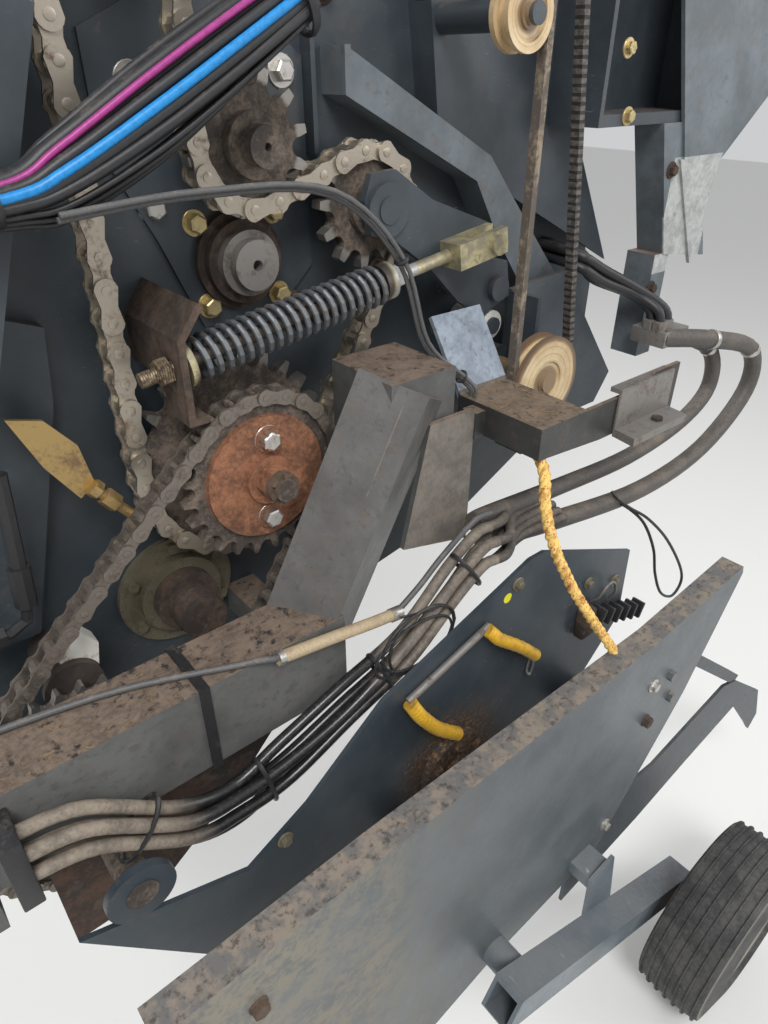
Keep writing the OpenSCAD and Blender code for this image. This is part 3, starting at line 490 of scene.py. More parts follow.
def pulley_finish(name, x, z, radius):
    f = Finish(name)
    mid, fine = f.noise(20, 5, 0.65), f.noise(120, 5, 0.7)
    share = axis_distance(f, x, z) * (1 / radius)
    ring_shade_and_relief = (share * 40).sin()
    tint = f.fade((0.52, 0.37, 0.20), (0.66, 0.52, 0.32), mid, 0.35, 0.65)
    stain = f.step(share + mid * 0.12, 0.96, 1.04).top(f.step(share + mid * 0.10, 0.50, 0.40) * 0.8)
    tint = f.mix(tint, (0.16, 0.105, 0.065), stain)
    # Painted shade: the sine rings darken the cream in bands round the axis.
    tint = f.fade(tint, (0.30, 0.20, 0.11), ring_shade_and_relief + fine, 1.1, 1.6, 0.5)
    return f.give(tint, fine * 0.2 + 0.35, ring_shade_and_relief * 0.25 + fine * 0.4, 0.0004)


def belt_finish():
    f = Finish("ribbed_belt")
    x, z, mid, fine = f.axis(0), f.axis(2), f.noise(26, 5, 0.7), f.noise(140, 5, 0.7)
    right = f.step(x + z * 0.0755, 0.8775, 0.8830)
    ribs = f.step((z * (math.tau / RIB_PITCH)).sin(), 0.15, 0.45) * right
    tint = f.fade((0.10, 0.082, 0.066), (0.26, 0.205, 0.15), mid * 0.6 + fine * 0.4, 0.48, 0.60)
    tint = f.mix(tint, f.fade((0.05, 0.045, 0.042), (0.13, 0.115, 0.10), fine, 0.4, 0.6), right)
    return f.give(f.mix(tint, (0.012, 0.011, 0.010), ribs * 0.85), 0.72, fine * 0.3 - ribs * 0.9, 0.0012)


belt_look = belt_finish()
pulley_low = pulley_finish("pulley_cream_low", 0.862, 0.240, 0.064)
pulley_high = pulley_finish("pulley_cream_high", 0.755, 0.677, 0.044)
print("belt ribs are", RIB_PITCH * 1000, "mm apart")

# %% [markdown]
# ## Finishes on the CAD nodes
# A CAD node keeps its mesh and gets a finish in its material slot. Sheet metal never has a knife edge, so
# the sheet pieces also get a small live bevel, which catches the light without touching their mesh.

# %% Dress the nodes
LOOKS = {
    paint_rail: "rail", paint_wall: "side_wall corner_post", paint_light: "gauge_arm",
    corner_paint_and_reflection: "corner_panel", paint_flange: "front_flange", tray_paint_and_shade: "hose_bracket",
    paint_dark: "tension_arm pulley_plate front_panel belt_top_pulley guard_hook", panel: "pickup_end",
    paint_plate: "pickup_plate", teeth_drive: "drive_sprocket", teeth_roll: "roll_sprocket",
    teeth_top: "top_sprocket", teeth_idler: "idler_sprocket", teeth_pickup: "pickup_sprocket",
    rust_dark: "bearing_block spring_bracket rotor_tube", steel_grey: "roller_shaft", rust_plate: "skirt_plates",
    chain_bright: "main_chain", chain_brown: "pickup_chain", rod_zinc: "tension_rod",
    zinc_brown: "cable_anchor", zinc_green: "hub_flange", spring_steel: "tension_spring",
    hose_black: "hose_elbow cable_bundle pull_cables brake_cable", hose_dusty: "rail_hoses front_hoses",
    belt_look: "drive_belt", pulley_low: "belt_pulley", pulley_high: "belt_roller",
    white_plastic: "guide_roller", shoe: "slide_shoe", yellow_grip: "grip_bars", rope_yellow: "rope",
    tyre_rubber: "gauge_wheel",
}
SHEETS = ("rail front_flange corner_panel front_panel hose_bracket pickup_end pickup_plate gauge_arm tension_arm "
          "spring_bracket guard_hook skirt_plates")
for look, names in LOOKS.items():
    for name in names.split():
        NODES[name].data.materials.clear()
        NODES[name].data.materials.append(look)
for name in SHEETS.split():
    softened = NODES[name].modifiers.new("soft_edges", "BEVEL")
    softened.width, softened.segments, softened.angle_limit = 0.0014, 2, math.radians(50)
print("dressed", sum(len(n.split()) for n in LOOKS.values()), "nodes")

# %% [markdown]
# ## Working by hand, in code
# Every new piece starts as a primitive and is shaped in edit mode. Small helpers keep that short: `start`
# adds a primitive with nothing else selected, `lying` adds a cylinder along Y, as bolts and wheels lie here,
# and `pick` selects what passes a test, by place or normal.

# %% Starting and picking
def done():
    if bpy.context.object and bpy.context.object.mode != "OBJECT":
        bpy.ops.object.mode_set(mode="OBJECT")


def choose(*objs):
    done()
    bpy.ops.object.select_all(action="DESELECT")
    for o in objs:
        o.select_set(True)
    bpy.context.view_layer.objects.active = objs[0]


def start(kind, **size):
    done()
    bpy.ops.object.select_all(action="DESELECT")
    getattr(bpy.ops.mesh, "primitive_" + kind + "_add")(**size)
    bpy.ops.object.transform_apply(location=True, rotation=True, scale=True)
    return bpy.context.object


def lying(sides, radius, depth, at=(0, 0, 0), **more):
    return start("cylinder", vertices=sides, radius=radius, depth=depth, location=at, rotation=(math.pi / 2, 0, 0),
                 **more)


def pick(kind, test):
    obj = bpy.context.object
    if obj.mode != "EDIT":
        bpy.ops.object.mode_set(mode="EDIT")
    bpy.ops.mesh.select_mode(type=kind)
    bpy.ops.mesh.select_all(action="DESELECT")
    mesh = bmesh.from_edit_mesh(obj.data)
    chosen = [item for item in {"VERT": mesh.verts, "EDGE": mesh.edges, "FACE": mesh.faces}[kind] if test(item)]
    for item in chosen:
        item.select_set(True)
    mesh.select_flush_mode()
    bmesh.update_edit_mesh(obj.data)
    return len(chosen)


print("starting and picking ready")

# %% [markdown]
# What repeats is modelled once and copied, each copy with a mesh of its own, and the copies are joined into
# one piece. `piece` names it, smooths it by angle, gives it its finish and lets it ride on a body of the
# machine, so that it moves with the right joint.

# %% Copying and finishing
def join(objs):
    choose(*objs)
    if len(objs) > 1:
        bpy.ops.object.join()
    return bpy.context.object


def copied(model, matrices):
    done()
    made = []
    for m in matrices:
        twin = model.copy()
        twin.data = model.data.copy()
        twin.data.transform(m)
        bpy.context.scene.collection.objects.link(twin)
        made.append(twin)
    bpy.data.objects.remove(model)
    return made


def piece(obj, name, finish, smooth=None, replaces=(), body="frame"):
    choose(obj)
    obj.name = obj.data.name = name
    if smooth:
        bpy.ops.object.shade_smooth_by_angle(angle=math.radians(smooth))
    obj.data.materials.clear()
    obj.data.materials.append(finish)
    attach(obj, body)
    if replaces:
        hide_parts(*replaces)
    print(name, "has", len(obj.data.polygons), "faces")


def across(x, y, z, turn=0.0):
    return Matrix.Translation((x, y, z)) @ Matrix.Rotation(turn, 4, "Y")


def facing(towards):
    return Vector(towards).to_track_quat("Z", "Y").to_matrix().to_4x4()


print("helpers ready")

# %% [markdown]
# ## The two roller chains
# A chain runs straight between wheels and bends link by link round them. An array along a curve would let
# the links stretch, so the path is worked out first: where each common tangent touches each wheel, how many
# links lie on each arc, and so where every pin sits. The radii come from the pitch and the tooth count, as
# on any real sprocket. A wheel is its centre, its teeth and its turn, 1 for anticlockwise.

# %% Where the pins sit
PITCH_MAIN, PITCH_PICKUP = 0.03175, 0.0254


def pin_places(wheels, pitch):
    n = len(wheels)
    centre, teeth, turn = [Vector(w[0]) for w in wheels], [w[1] for w in wheels], [w[2] for w in wheels]
    r = [pitch / (2 * math.sin(math.pi / t)) for t in teeth]
    phi = []
    for i in range(n):
        d = centre[(i + 1) % n] - centre[i]
        slant = math.asin((turn[i] * r[i] - turn[(i + 1) % n] * r[(i + 1) % n]) / d.length)
        phi.append(math.atan2(d.y, d.x) + slant)
    touch = lambda i, a: centre[i] + turn[i] * r[i] * Vector((math.sin(a), -math.cos(a)))
    arcs = [(turn[i] * (phi[i] - phi[i - 1])) % math.tau * teeth[i] / math.tau for i in range(n)]
    runs = [(touch((i + 1) % n, phi[i]) - touch(i, phi[i])).length for i in range(n)]
    links = 2 * round((sum(arcs) + sum(runs) / pitch) / 2)
    step = sum(runs) / (links - sum(arcs))
    places, begin = [], 0.0
    for i in range(n):
        k = math.ceil(begin - 1e-6)
        while k < begin + arcs[i]:
            a = phi[i - 1] - turn[i] * math.pi / 2 + turn[i] * (k - begin) * math.tau / teeth[i]
            places.append(centre[i] + r[i] * Vector((math.cos(a), math.sin(a))))
            k += 1
        on = begin + arcs[i]
        begin = on + runs[i] / step
        while k < begin - 1e-6:
            places.append(touch(i, phi[i]) + (k - on) * step * Vector((math.cos(phi[i]), math.sin(phi[i]))))
            k += 1
    return places


MAIN_PINS = pin_places([(TOP, 12, 1), (DRIVE, 24, 1), (IDLER, 12, 1), (ROLL, 12, -1)], PITCH_MAIN)
PICKUP_PINS = pin_places([(DRIVE, 24, 1), (PICK, 36, 1)], PITCH_PICKUP)
print("main chain", len(MAIN_PINS), "links, pickup chain", len(PICKUP_PINS), "links")

# %% [markdown]
# One link plate starts as a sixteen-sided disc. Its two halves are moved apart by one pitch, the long
# sides are cut once in the middle, and that cut is scaled in. That gives the waisted plate of a real chain.
# A roller or a pin is a short cylinder whose ends are inset and pushed out a little, like a peened head.

# %% Link plates and rollers
def link_plate(pitch, y, thick):
    plate = start("cylinder", vertices=16, radius=pitch * 0.385, depth=thick, location=(0, y, 0),
                  rotation=(math.pi / 2, math.pi / 16, 0))
    pick("VERT", lambda v: v.co.x > 0)
    bpy.ops.transform.translate(value=(pitch, 0, 0))
    pick("EDGE", lambda e: abs(e.verts[0].co.x - e.verts[1].co.x) > pitch * 0.9)
    bpy.ops.mesh.subdivide(number_cuts=1)
    pick("VERT", lambda v: abs(v.co.x - pitch / 2) < pitch * 0.05)
    bpy.ops.transform.resize(value=(1, 1, 0.70))
    return plate


def barrel(x, radius, wide):
    roller = lying(10, radius, wide, (x, 0, 0))
    pick("FACE", lambda f: abs(f.normal.y) > 0.9)
    bpy.ops.mesh.inset(thickness=radius * 0.22)
    bpy.ops.transform.resize(value=(1, 1 + 0.10 * radius / wide, 1), center_override=(x, 0, 0))
    return roller


print("a plate of the main chain is", round(PITCH_MAIN * 0.77 * 1000, 1), "mm high")

# %% [markdown]
# Inner links carry the rollers, and outer links carry the pins outside them. Both kinds are modelled once
# and copied from pin to pin, turned along the path and stretched by the hair that closes the loop.

# %% Chains
def chain_links(pins, pitch, y):
    inner, thick = pitch * 0.31, pitch * 0.1
    links = []
    for kind, radius, wide in ((0, pitch * 0.3, 2 * inner), (1, pitch * 0.16, 2 * inner + 4.6 * thick)):
        off = inner + thick * 0.5 + kind * thick * 1.04
        plates = [link_plate(pitch, s * off, thick) for s in (-1, 1)]
        model = join(plates + [barrel(x, radius, wide) for x in (0, pitch)])
        places = []
        for k in range(kind, len(pins), 2):
            p, q = pins[k], pins[(k + 1) % len(pins)]
            d = q - p
            grow = Matrix.Scale(d.length / pitch, 4, (1, 0, 0))
            places.append(across(p.x, y, p.y, -math.atan2(d.y, d.x)) @ grow)
        links += copied(model, places)
    return join(links)


piece(chain_links(MAIN_PINS, PITCH_MAIN, 0.140), "main_roller_chain", chain_bright, 35, ("main_chain",))
piece(chain_links(PICKUP_PINS, PITCH_PICKUP, 0.075), "pickup_roller_chain", chain_brown, 35,
      ("pickup_chain",))

# %% [markdown]
# ## Hoses, cables and the rope
# A hose is a curve with a round bevel, which is how it is drawn in any modelling program. Its points are
# those of the CAD route, in millimetres. Rounding the corners with a Catmull-Rom curve gives the bends that
# a real hose takes. One curve may hold several runs, each with its own radius.

# %% Curved hoses
def flow(points, parts=6):
    pts = [Vector(p) for p in points]
    line = []
    for i in range(len(pts) - 1):
        a, b = pts[max(i - 1, 0)], pts[i]
        c, d = pts[i + 1], pts[min(i + 2, len(pts) - 1)]
        for k in range(parts):
            t = k / parts
            line.append(0.5 * (2 * b + (c - a) * t + (2 * a - 5 * b + 4 * c - d) * t * t
                               + (3 * b - a - 3 * c + d) * t ** 3))
    return line + [pts[-1]]


def hoses(name, runs, finish, replaces=(), body="frame", sides=3, parts=6, ribs=0):
    curve = bpy.data.curves.new(name, "CURVE")
    curve.dimensions, curve.bevel_depth, curve.bevel_resolution = "3D", 1.0, sides
    curve.use_fill_caps = True
    longest = 0
    for points, radius in runs:
        line = [p / 1000 for p in flow(points, parts)]
        spline = curve.splines.new("POLY")
        spline.points.add(len(line) - 1)
        for i, (p, q) in enumerate(zip(spline.points, line)):
            p.co = (*q, 1)
            p.radius = radius / 1000 * (0.88 if ribs and i % ribs == ribs - 1 else 1)
        longest = max(longest, sum((b - a).length for a, b in zip(line, line[1:])))
    curve.materials.append(finish)
    obj = bpy.data.objects.new(name, curve)
    bpy.context.scene.collection.objects.link(obj)
    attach(obj, body)
    if replaces:
        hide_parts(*replaces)
    print(name, "has", len(runs), "runs, the longest", round(longest, 2), "m")
    return obj


def shifted(points, dx, dy, dz):
    return [(x + dx, y + dy, z + dz) for x, y, z in points]


# %% [markdown]
# Five hoses lie along the rail between two clamps. They follow one route, set apart in height and depth, and
# each sags by its own few millimetres, since real hoses never lie quite parallel.

# %% Hoses along the rail
RAIL_ROUTE = [[49, -62, 0], [108, -62, -16], [197, -62, -90], [262, -62, -104], [330, -62, -90], [420, -62, -60],
              [520, -60, -20], [600, -60, 40], [650, -60, 75], [675.7, -60, 75]]
SAG = [0, 3, -4, -9, 2, 5, -3, 4]
runs = []
for k in range(5):
    line = shifted(RAIL_ROUTE, 0, -(k % 2) * 16, (k - 2) * 15)
    runs.append(([(x, y, z + (SAG[(i + 2 * k) % 8] if 1 < i < 8 else 0)) for i, (x, y, z) in enumerate(line)], 7.6))
hoses("rail_hose_run", runs, hose_look, ("rail_hoses",), sides=4)

# %% [markdown]
# The wiring bundle lies across the top left corner: eleven black tubes, one blue line, one violet line and
# five thin wires. Ties gather it at the left, so each line's distance from the bundle's middle shrinks there.
# Drawing every line from one route and one table keeps the bundle together.

# %% Wiring bundle
BUNDLE = [[70, 530], [207, 543], [257, 560], [339, 602], [420, 646], [500, 690]]
GATHER = (0.42, 0.42, 0.75, 1.0, 1.0, 0.85)
TUBES = [(66, 20, 7), (60, 12, 5), (46, 8, 5), (66, 2, 7), (50, 0, 4.5), (42, -8, 5), (52, -11, 8), (41, -18, 4.5),
         (60, -19, 6), (48, -22, 4), (70, 28, 4)]
WIRES = [(44, -26, 6), (50, -25, 14), (56, -22, 22), (62, -24, 12), (40, -14, 4)]


def along_bundle(y, lift, sag=0):
    return [(x, 54 + (y - 54) * share ** 0.3, z + 2 + lift * share - sag * math.sin(math.pi * i / 5))
            for i, ((x, z), share) in enumerate(zip(BUNDLE, GATHER))]


tubes = [(along_bundle(y, dz), radius) for y, dz, radius in TUBES]
hoses("wiring_tubes", tubes, hose_black, ("cable_bundle",), sides=4)
hoses("blue_air_line", [(along_bundle(39, 0), 4.2)], blue_line, sides=4)
hoses("violet_air_line", [(along_bundle(50, 20), 3.0)], pink_line, sides=4)
hoses("thin_wires", [(along_bundle(*wire), 2.6) for wire in WIRES], hose_black)

# %% [markdown]
# Two thin pull cables leave the bundle, arch over the drives and drop to the tray. They run side by side, a
# cable's width apart.

# %% Pull cables
PULL = [[240.5, 34, 529], [365, 34, 536], [505, 32, 524], [598, 34, 446], [642, 36, 340], [690, 18, 290],
        [702, 8, 274], [702, 8, 262.3]]
pull_runs = [(shifted(PULL, 0, dy, dz), 2.8) for dy, dz in ((0, 2), (8, -3))]
hoses("pull_cable_pair", pull_runs, cable_grey, ("pull_cables",))

# %% [markdown]
# Four hoses leave the wall in a two-by-two block and curve down behind the tray. Two thick hoses make the
# wide loop in front of them, and the five hoses of the rail fan out beside the loop. A fan is a hose's route
# with its last points spread, so it is one formula and not five drawings.

# %% Front hoses
LOWER_LOOP = [[676, -46, 84], [716, -36, 60], [866, -36, 28], [1093, -40, 0], [1285, -40, 20], [1408, -40, 103],
              [1380, -40, 190], [1240, -30, 236], [1140, 6, 250]]
UPPER_LOOP = [[676, -30, 98], [716, -24, 92], [900, -4, 60], [1090, -4, 50], [1250, -4, 70], [1330, -4, 120],
              [1300, 0, 200], [1190, 30, 244]]
BLOCK_HOSES = [(i, j) for i in (0, 1) for j in (0, 1)]
front = []
for i, j in BLOCK_HOSES:
    x = 1015 + 18 * i
    front.append(([[x, 187.7, 371 + 17 * j], [x, 165, 371 + 17 * j], [x, 97 + 17 * i, 366 + 17 * j],
                   [1060, 80 + 17 * i, 340 + 17 * j], [1120, 55 + 17 * i, 314 + 10 * j],
                   [1140 + 19 * j, 20 + 17 * i, 290], [1140 + 19 * j, 14 + 17 * i, 255]], 7.8))
hoses("front_hose_block", front, hose_black, ("front_hoses",), sides=4)
hoses("thick_loop_hoses", [(LOWER_LOOP, 15.2), (UPPER_LOOP, 13.8)], hose_grey, sides=5)
fan = []
for k in range(5):
    y, z = -60 - (k % 2) * 16, 75 + (k - 2) * 15
    fan.append(([[675.7, y, z], [700, y, z], [760, -52 + 7 * k, 52 + 7 * k], [860, -50 + 12 * k, 40 + 6 * k]], 7.2))
hoses("hose_fan", fan, hose_dusty, sides=4)

# %% [markdown]
# The brake cable runs over the rail and through a beige sheath that a bright clasp holds at each end.

# %% Brake cable
BRAKE_LEFT = [[12.3, 37, 68], [60, 36, 67], [185, 13, 64.3], [304, -36, 64.3], [322, -44, 65], [350, -48.6, 56]]
BRAKE_RIGHT = [[520, -49, 30], [560, -50, 56], [600, -50, 86], [645, -60, 128], [675.7, -60, 128]]
SHEATH = [[344, -48.6, 58], [420, -48.6, 46], [480, -49, 36], [523, -49, 30]]
hoses("brake_cable_line", [(BRAKE_LEFT, 4), (BRAKE_RIGHT, 4)], cable_grey, ("brake_cable",))
hoses("beige_cable_sheath", [(SHEATH, 8)], beige_sheath, sides=4)

# %% [markdown]
# A twisted rope is three strands wound round one line. At each point of the route a frame square to the line is
# carried along, and each strand goes round it a third of a turn from the next. The rope hangs from the tray to the
# pickup.

# %% Twisted rope
ROPE = [[720, -60, 255.6], [720, -60, 244], [716, -88, 220], [706, -114, 202], [694, -132, 164], [692, -152, 122],
        [702, -170, 80], [718, -188, 38], [742, -206, -8], [770, -224, -58]]


def strands(points, radius, count, lay, parts):
    line = flow(points, parts)
    side, gone, made = Vector((1, 0, 0)), 0.0, [[] for _ in range(count)]
    for i, p in enumerate(line):
        along = (line[min(i + 1, len(line) - 1)] - line[max(i - 1, 0)]).normalized()
        side = (side - along * side.dot(along)).normalized()
        gone += (p - line[i - 1]).length if i else 0
        for k in range(count):
            a = math.tau * (gone / lay + k / count)
            made[k].append(p + radius * (side * math.cos(a) + along.cross(side) * math.sin(a)))
    return made


twisted = [(run, 4.3) for run in strands(ROPE, radius=3.8, count=3, lay=36, parts=5)]
choose(hoses("yellow_rope", twisted, rope_yellow, ("rope",), sides=2))
bpy.ops.object.convert(target="MESH")
rope = bpy.context.object
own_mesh(rope)

# %% [markdown]
# ## The gauge wheel
# The tyre is a ribbed implement tyre. A spun outline would do, but a band of rings is quicker to change: a
# cylinder without caps is cut into rings, each ring is scaled to the radius of the tyre's section there, and
# every seventh band of the tread is pushed in for the grooves. The open rims are then turned inwards.

# %% Ribbed tyre
WHEEL = Vector((TYRE_AXLE[0], TYRE_MIDDLE, TYRE_AXLE[1]))
BANDS = 56


def tyre_section(share):
    s = abs(share) * 2
    crown = 1.0 - CROWN_DROP * s ** 3
    return crown * (1.0 if s < 0.86 else 1.0 - (s - 0.86) / 0.14 * 0.36)


def in_groove(face):
    off = face.calc_center_median().y - WHEEL.y
    return abs(off) < TYRE_W * 0.40 and int((off + TYRE_W / 2) / TYRE_W * BANDS) % 7 == 0


tyre = lying(80, TYRE_R, TYRE_W, WHEEL, end_fill_type="NOTHING")
pick("EDGE", lambda e: abs(e.verts[0].co.y - e.verts[1].co.y) > TYRE_W * 0.5)
bpy.ops.mesh.subdivide(number_cuts=BANDS - 1)
for k in range(BANDS + 1):
    share = k / BANDS - 0.5
    y, scale = WHEEL.y + TYRE_W * share, tyre_section(share)
    if pick("VERT", lambda v: abs(v.co.y - y) < TYRE_W * 0.004):
        bpy.ops.transform.resize(value=(scale, 1, scale), center_override=WHEEL)
grooved = pick("FACE", in_groove)
bpy.ops.mesh.extrude_region_shrink_fatten(TRANSFORM_OT_shrink_fatten={"value": 0.005})
for end in (-1, 1):
    pick("EDGE", lambda e: all(abs(v.co.y - WHEEL.y - end * TYRE_W / 2) < 1e-4 for v in e.verts) and e.is_boundary)
    bpy.ops.mesh.extrude_region_move()
    bpy.ops.transform.resize(value=(0.86, 1, 0.86), center_override=WHEEL)
    bpy.ops.transform.translate(value=(0, -end * 0.012, 0))
print("grooved faces", grooved)
piece(tyre, "ribbed_tyre", tyre_look, 40, ("gauge_wheel",), "gauge_wheel")

# %% [markdown]
# The rim is a drum with a dish in each side and a hub in the middle. Both end faces are inset and pushed in
# for the dish, inset again and pulled out for the hub, and a last inset is bridged through for the axle.

# %% Rim and hub
rim = lying(48, 0.0985, 0.110, WHEEL)
pick("FACE", lambda f: abs(f.normal.y) > 0.9)
for thickness, shift in ((0.006, 0.0), (0.006, -0.030), (0.058, 0.0), (0.004, 0.022), (0.0115, 0.0)):
    bpy.ops.mesh.inset(thickness=thickness, depth=0, use_individual=True)
    if shift:
        wide = max(abs(v.co.y - WHEEL.y) for v in bmesh.from_edit_mesh(rim.data).verts if v.select)
        bpy.ops.transform.resize(value=(1, (wide + shift) / wide, 1), center_override=WHEEL)
bpy.ops.mesh.bridge_edge_loops()
print("rim is", round(rim.dimensions.y * 1000), "mm wide")

# %% [markdown]
# Five wheel nuts sit on a circle round the hub. One hexagon is modelled, with a raised top, and copied.

# %% Wheel nuts
def hexagon(radius, depth, y, edge, lift):
    head = lying(6, radius, depth, (0, y, 0))
    pick("FACE", lambda f: f.normal.y < -0.9)
    bpy.ops.mesh.inset(thickness=edge)
    bpy.ops.transform.translate(value=(0, -lift, 0))
    return head


NUT_CIRCLE, NUT_COUNT = 0.052, 5
angles = [math.tau * k / NUT_COUNT for k in range(NUT_COUNT)]
seats = [across(WHEEL.x + NUT_CIRCLE * math.cos(a), WHEEL.y - 0.0285, WHEEL.z + NUT_CIRCLE * math.sin(a), a)
         for a in angles]
nuts = copied(hexagon(0.009, 0.010, 0, 0.0016, 0.0016), seats)
piece(join([rim] + nuts), "gauge_rim", rust_dark, 35, body="gauge_wheel")

# %% [markdown]
# ## Bolts
# One bolt is modelled once: a round washer with a softened rim and a hexagon head whose top is inset and
# raised. It is then copied, with its own mesh, to every place where the photograph shows one. Each copy is
# turned further than the last, because no two bolts stop at the same angle. The table is in millimetres.

# %% Bolts and washers
WASHER_THICK = 0.0024


def bolt(head, washer, height):
    disc = lying(20, washer, WASHER_THICK, (0, -WASHER_THICK / 2, 0))
    pick("EDGE", lambda e: all(v.co.y < -0.002 for v in e.verts))
    bpy.ops.mesh.bevel(offset=0.0007, segments=1)
    return join([disc, hexagon(head, height, -WASHER_THICK - height / 2, head * 0.16, head * 0.12)])


# name, body, finish, (radius of the head, radius of the washer, height of the head), places
BOLTS = [
    ("wall_bolts_pale", "frame", bright, (11.5, 17, 9), [(377, 183, 619), (547, 183, 626), (381, 188, 504)]),
    ("wall_bolts_zinc", "frame", zinc_yellow, (10.5, 14.5, 11),
     [(423, 183, 485), (522, 183, 488), (428, 183, 394), (523, 183, 393)]),
    ("wall_bolts_brown", "frame", rust_plate, (9.5, 14.5, 8.5),
     [(546, 183, 378), (652, 188, 614), (610, 188, 700), (300, 188, 560)]),
    ("disc_bolts", "frame", bright, (11.8, 16.5, 10.2), [(419, 61, 272), (413, 61, 172)]),
    ("front_sheet_bolts", "frame", zinc_yellow, (8, 12, 6), [(1022, 60, 572), (1000, 60, 650)]),
    ("corner_sheet_bolts", "frame", rust_plate, (8, 12, 6), [(1154, 56, 496), (1164, 58, 317)]),
    ("inner_panel_bolts", "pickup", zinc_green, (7, 11, 5),
     [(881, -100, -68), (960, -100, -101), (300, -100, -180), (700, -100, 20)]),
    ("outer_plate_bolts", "pickup", bright, (8, 12, 6), [(869, -248, -170), (830, -248, -480)]),
    ("outer_plate_rusty_bolt", "pickup", rust_dark, (10, 11, 7), [(176, -248, -156), (876, -248, -252)]),
]
for name, body, finish, sizes, places in BOLTS:
    model = bolt(*(size / 1000 for size in sizes))
    seats = [across(x / 1000, y / 1000, z / 1000, 0.5 * i) for i, (x, y, z) in enumerate(places)]
    piece(join(copied(model, seats)), name, finish, 30, body=body)

# %% [markdown]
# ## Castle nut
# The nut on the drive shaft has six slots for its split pin. A ring of twenty-four sides is made by bridging
# its inset ends. Of every four faces at its outer end two are pulled out, which leaves six towers. The
# shaft's tip is a cylinder cut into rings, and every second ring is drawn in for the thread.

# %% Castle nut and threaded tip
RING_SIDES, TIP_Y, TURN_LONG = 24, 0.0275, 0.0016


def on_tower(face):
    middle = face.calc_center_median()
    angle = math.atan2(middle.z - DRIVE[1], middle.x - DRIVE[0]) + math.tau
    return face.normal.y < -0.9 and int(angle / math.tau * RING_SIDES) % 4 < 2


castle = lying(RING_SIDES, 0.0195, 0.008, (DRIVE[0], 0.0312, DRIVE[1]))
pick("FACE", lambda f: abs(f.normal.y) > 0.9)
bpy.ops.mesh.inset(thickness=0.0062)
bpy.ops.mesh.bridge_edge_loops()
tower_faces = pick("FACE", on_tower)
bpy.ops.mesh.extrude_region_move(TRANSFORM_OT_translate={"value": (0, -0.0035, 0)})
tip = lying(24, 0.0136, 0.016, (DRIVE[0], TIP_Y, DRIVE[1]))
pick("EDGE", lambda e: abs(e.verts[0].co.y - e.verts[1].co.y) > 0.01)
bpy.ops.mesh.subdivide(number_cuts=9)
pick("VERT", lambda v: round((v.co.y - TIP_Y + 0.008) / TURN_LONG) % 2 == 1)
bpy.ops.transform.resize(value=(0.93, 1, 0.93), center_override=(DRIVE[0], TIP_Y, DRIVE[1]))
print("tower faces", tower_faces)
piece(join([castle, tip]), "castle_nut", rust_dark, 30)

# %% [markdown]
# Three hexagon nuts sit along the cable anchor's threaded end. A nut is a six-sided cylinder whose two ends
# are inset and pushed out a little, so that its corners read as chamfered.

# %% Anchor nuts
def hex_nut(radius, depth, edge, rise):
    nut = start("cylinder", vertices=6, radius=radius, depth=depth)
    pick("FACE", lambda f: abs(f.normal.z) > 0.9)
    bpy.ops.mesh.inset(thickness=edge)
    bpy.ops.transform.resize(value=(1, 1, rise), center_override=(0, 0, 0))
    return nut


anchor_from, anchor_run = Vector((0.236, 0.116, 0.250)), Vector((0.026, -0.004, -0.036))
seats = [Matrix.Translation(anchor_from + anchor_run * t) @ facing(anchor_run) for t in (0.05, 0.42, 0.62)]
piece(join(copied(hex_nut(0.0105, 0.009, 0.0015, 1.2), seats)), "anchor_nuts", zinc_brown, 30)

# %% [markdown]
# ## Grips
# The pickup's two yellow hand grips are soft plastic tubes with ribs. A curve's radius can change from
# point to point, so every third point is a little thinner, which reads as ribs. A grey rod joins the grips'
# tops, and a bright wire clip hangs from each lower end.

# %% Yellow grips
UPPER_GRIP = [[632, -110.7, -18], [640, -116, -28], [652, -118.3, -42], [700, -118.3, -84], [740, -118.3, -124]]
LOWER_GRIP = [[494, -110.7, -66], [500, -116, -80], [510, -118.3, -98], [540, -118.3, -140], [580, -118.3, -180]]
GRIP_ROD = [[494, -106.3, -66], [567, -106.3, -42], [640, -106.3, -18]]
UPPER_CLIP = [[740, -108, -122], [752, -109, -150], [748, -109, -176], [738, -109, -160], [744, -109, -132]]
LOWER_CLIP = [[580, -108, -178], [590, -109, -200], [600, -109, -222]]
grips = [(UPPER_GRIP, 9.8), (LOWER_GRIP, 10.3)]
hoses("ribbed_grips", grips, yellow_grip, ("grip_bars",), "pickup", sides=5, parts=10, ribs=3)
hoses("grip_rod", [(GRIP_ROD, 5.5)], steel_grey, body="pickup", sides=4)
hoses("spring_clip", [(UPPER_CLIP, 1.8), (LOWER_CLIP, 1.8)], bright, body="pickup")

# %% [markdown]
# ## Straps and ties
# Plastic ties hold the bundle, the rail's hoses and the pull cables. A tie is a torus pressed flat along its
# axis, turned towards its cable's run and stretched to an oval where it holds several hoses side by side.

# %% Cable ties
def band(at, towards, radius, wide, tall=1.0):
    wire = 0.0018
    ring = start("torus", major_radius=radius / 1000, minor_radius=wire, major_segments=28, minor_segments=6)
    bpy.ops.object.mode_set(mode="EDIT")
    bpy.ops.mesh.select_all(action="SELECT")
    bpy.ops.transform.resize(value=(1, tall, wide / 1000 / (2 * wire)), center_override=(0, 0, 0))
    done()
    ring.data.transform(Matrix.Translation(Vector(at) / 1000) @ facing(towards))
    return ring


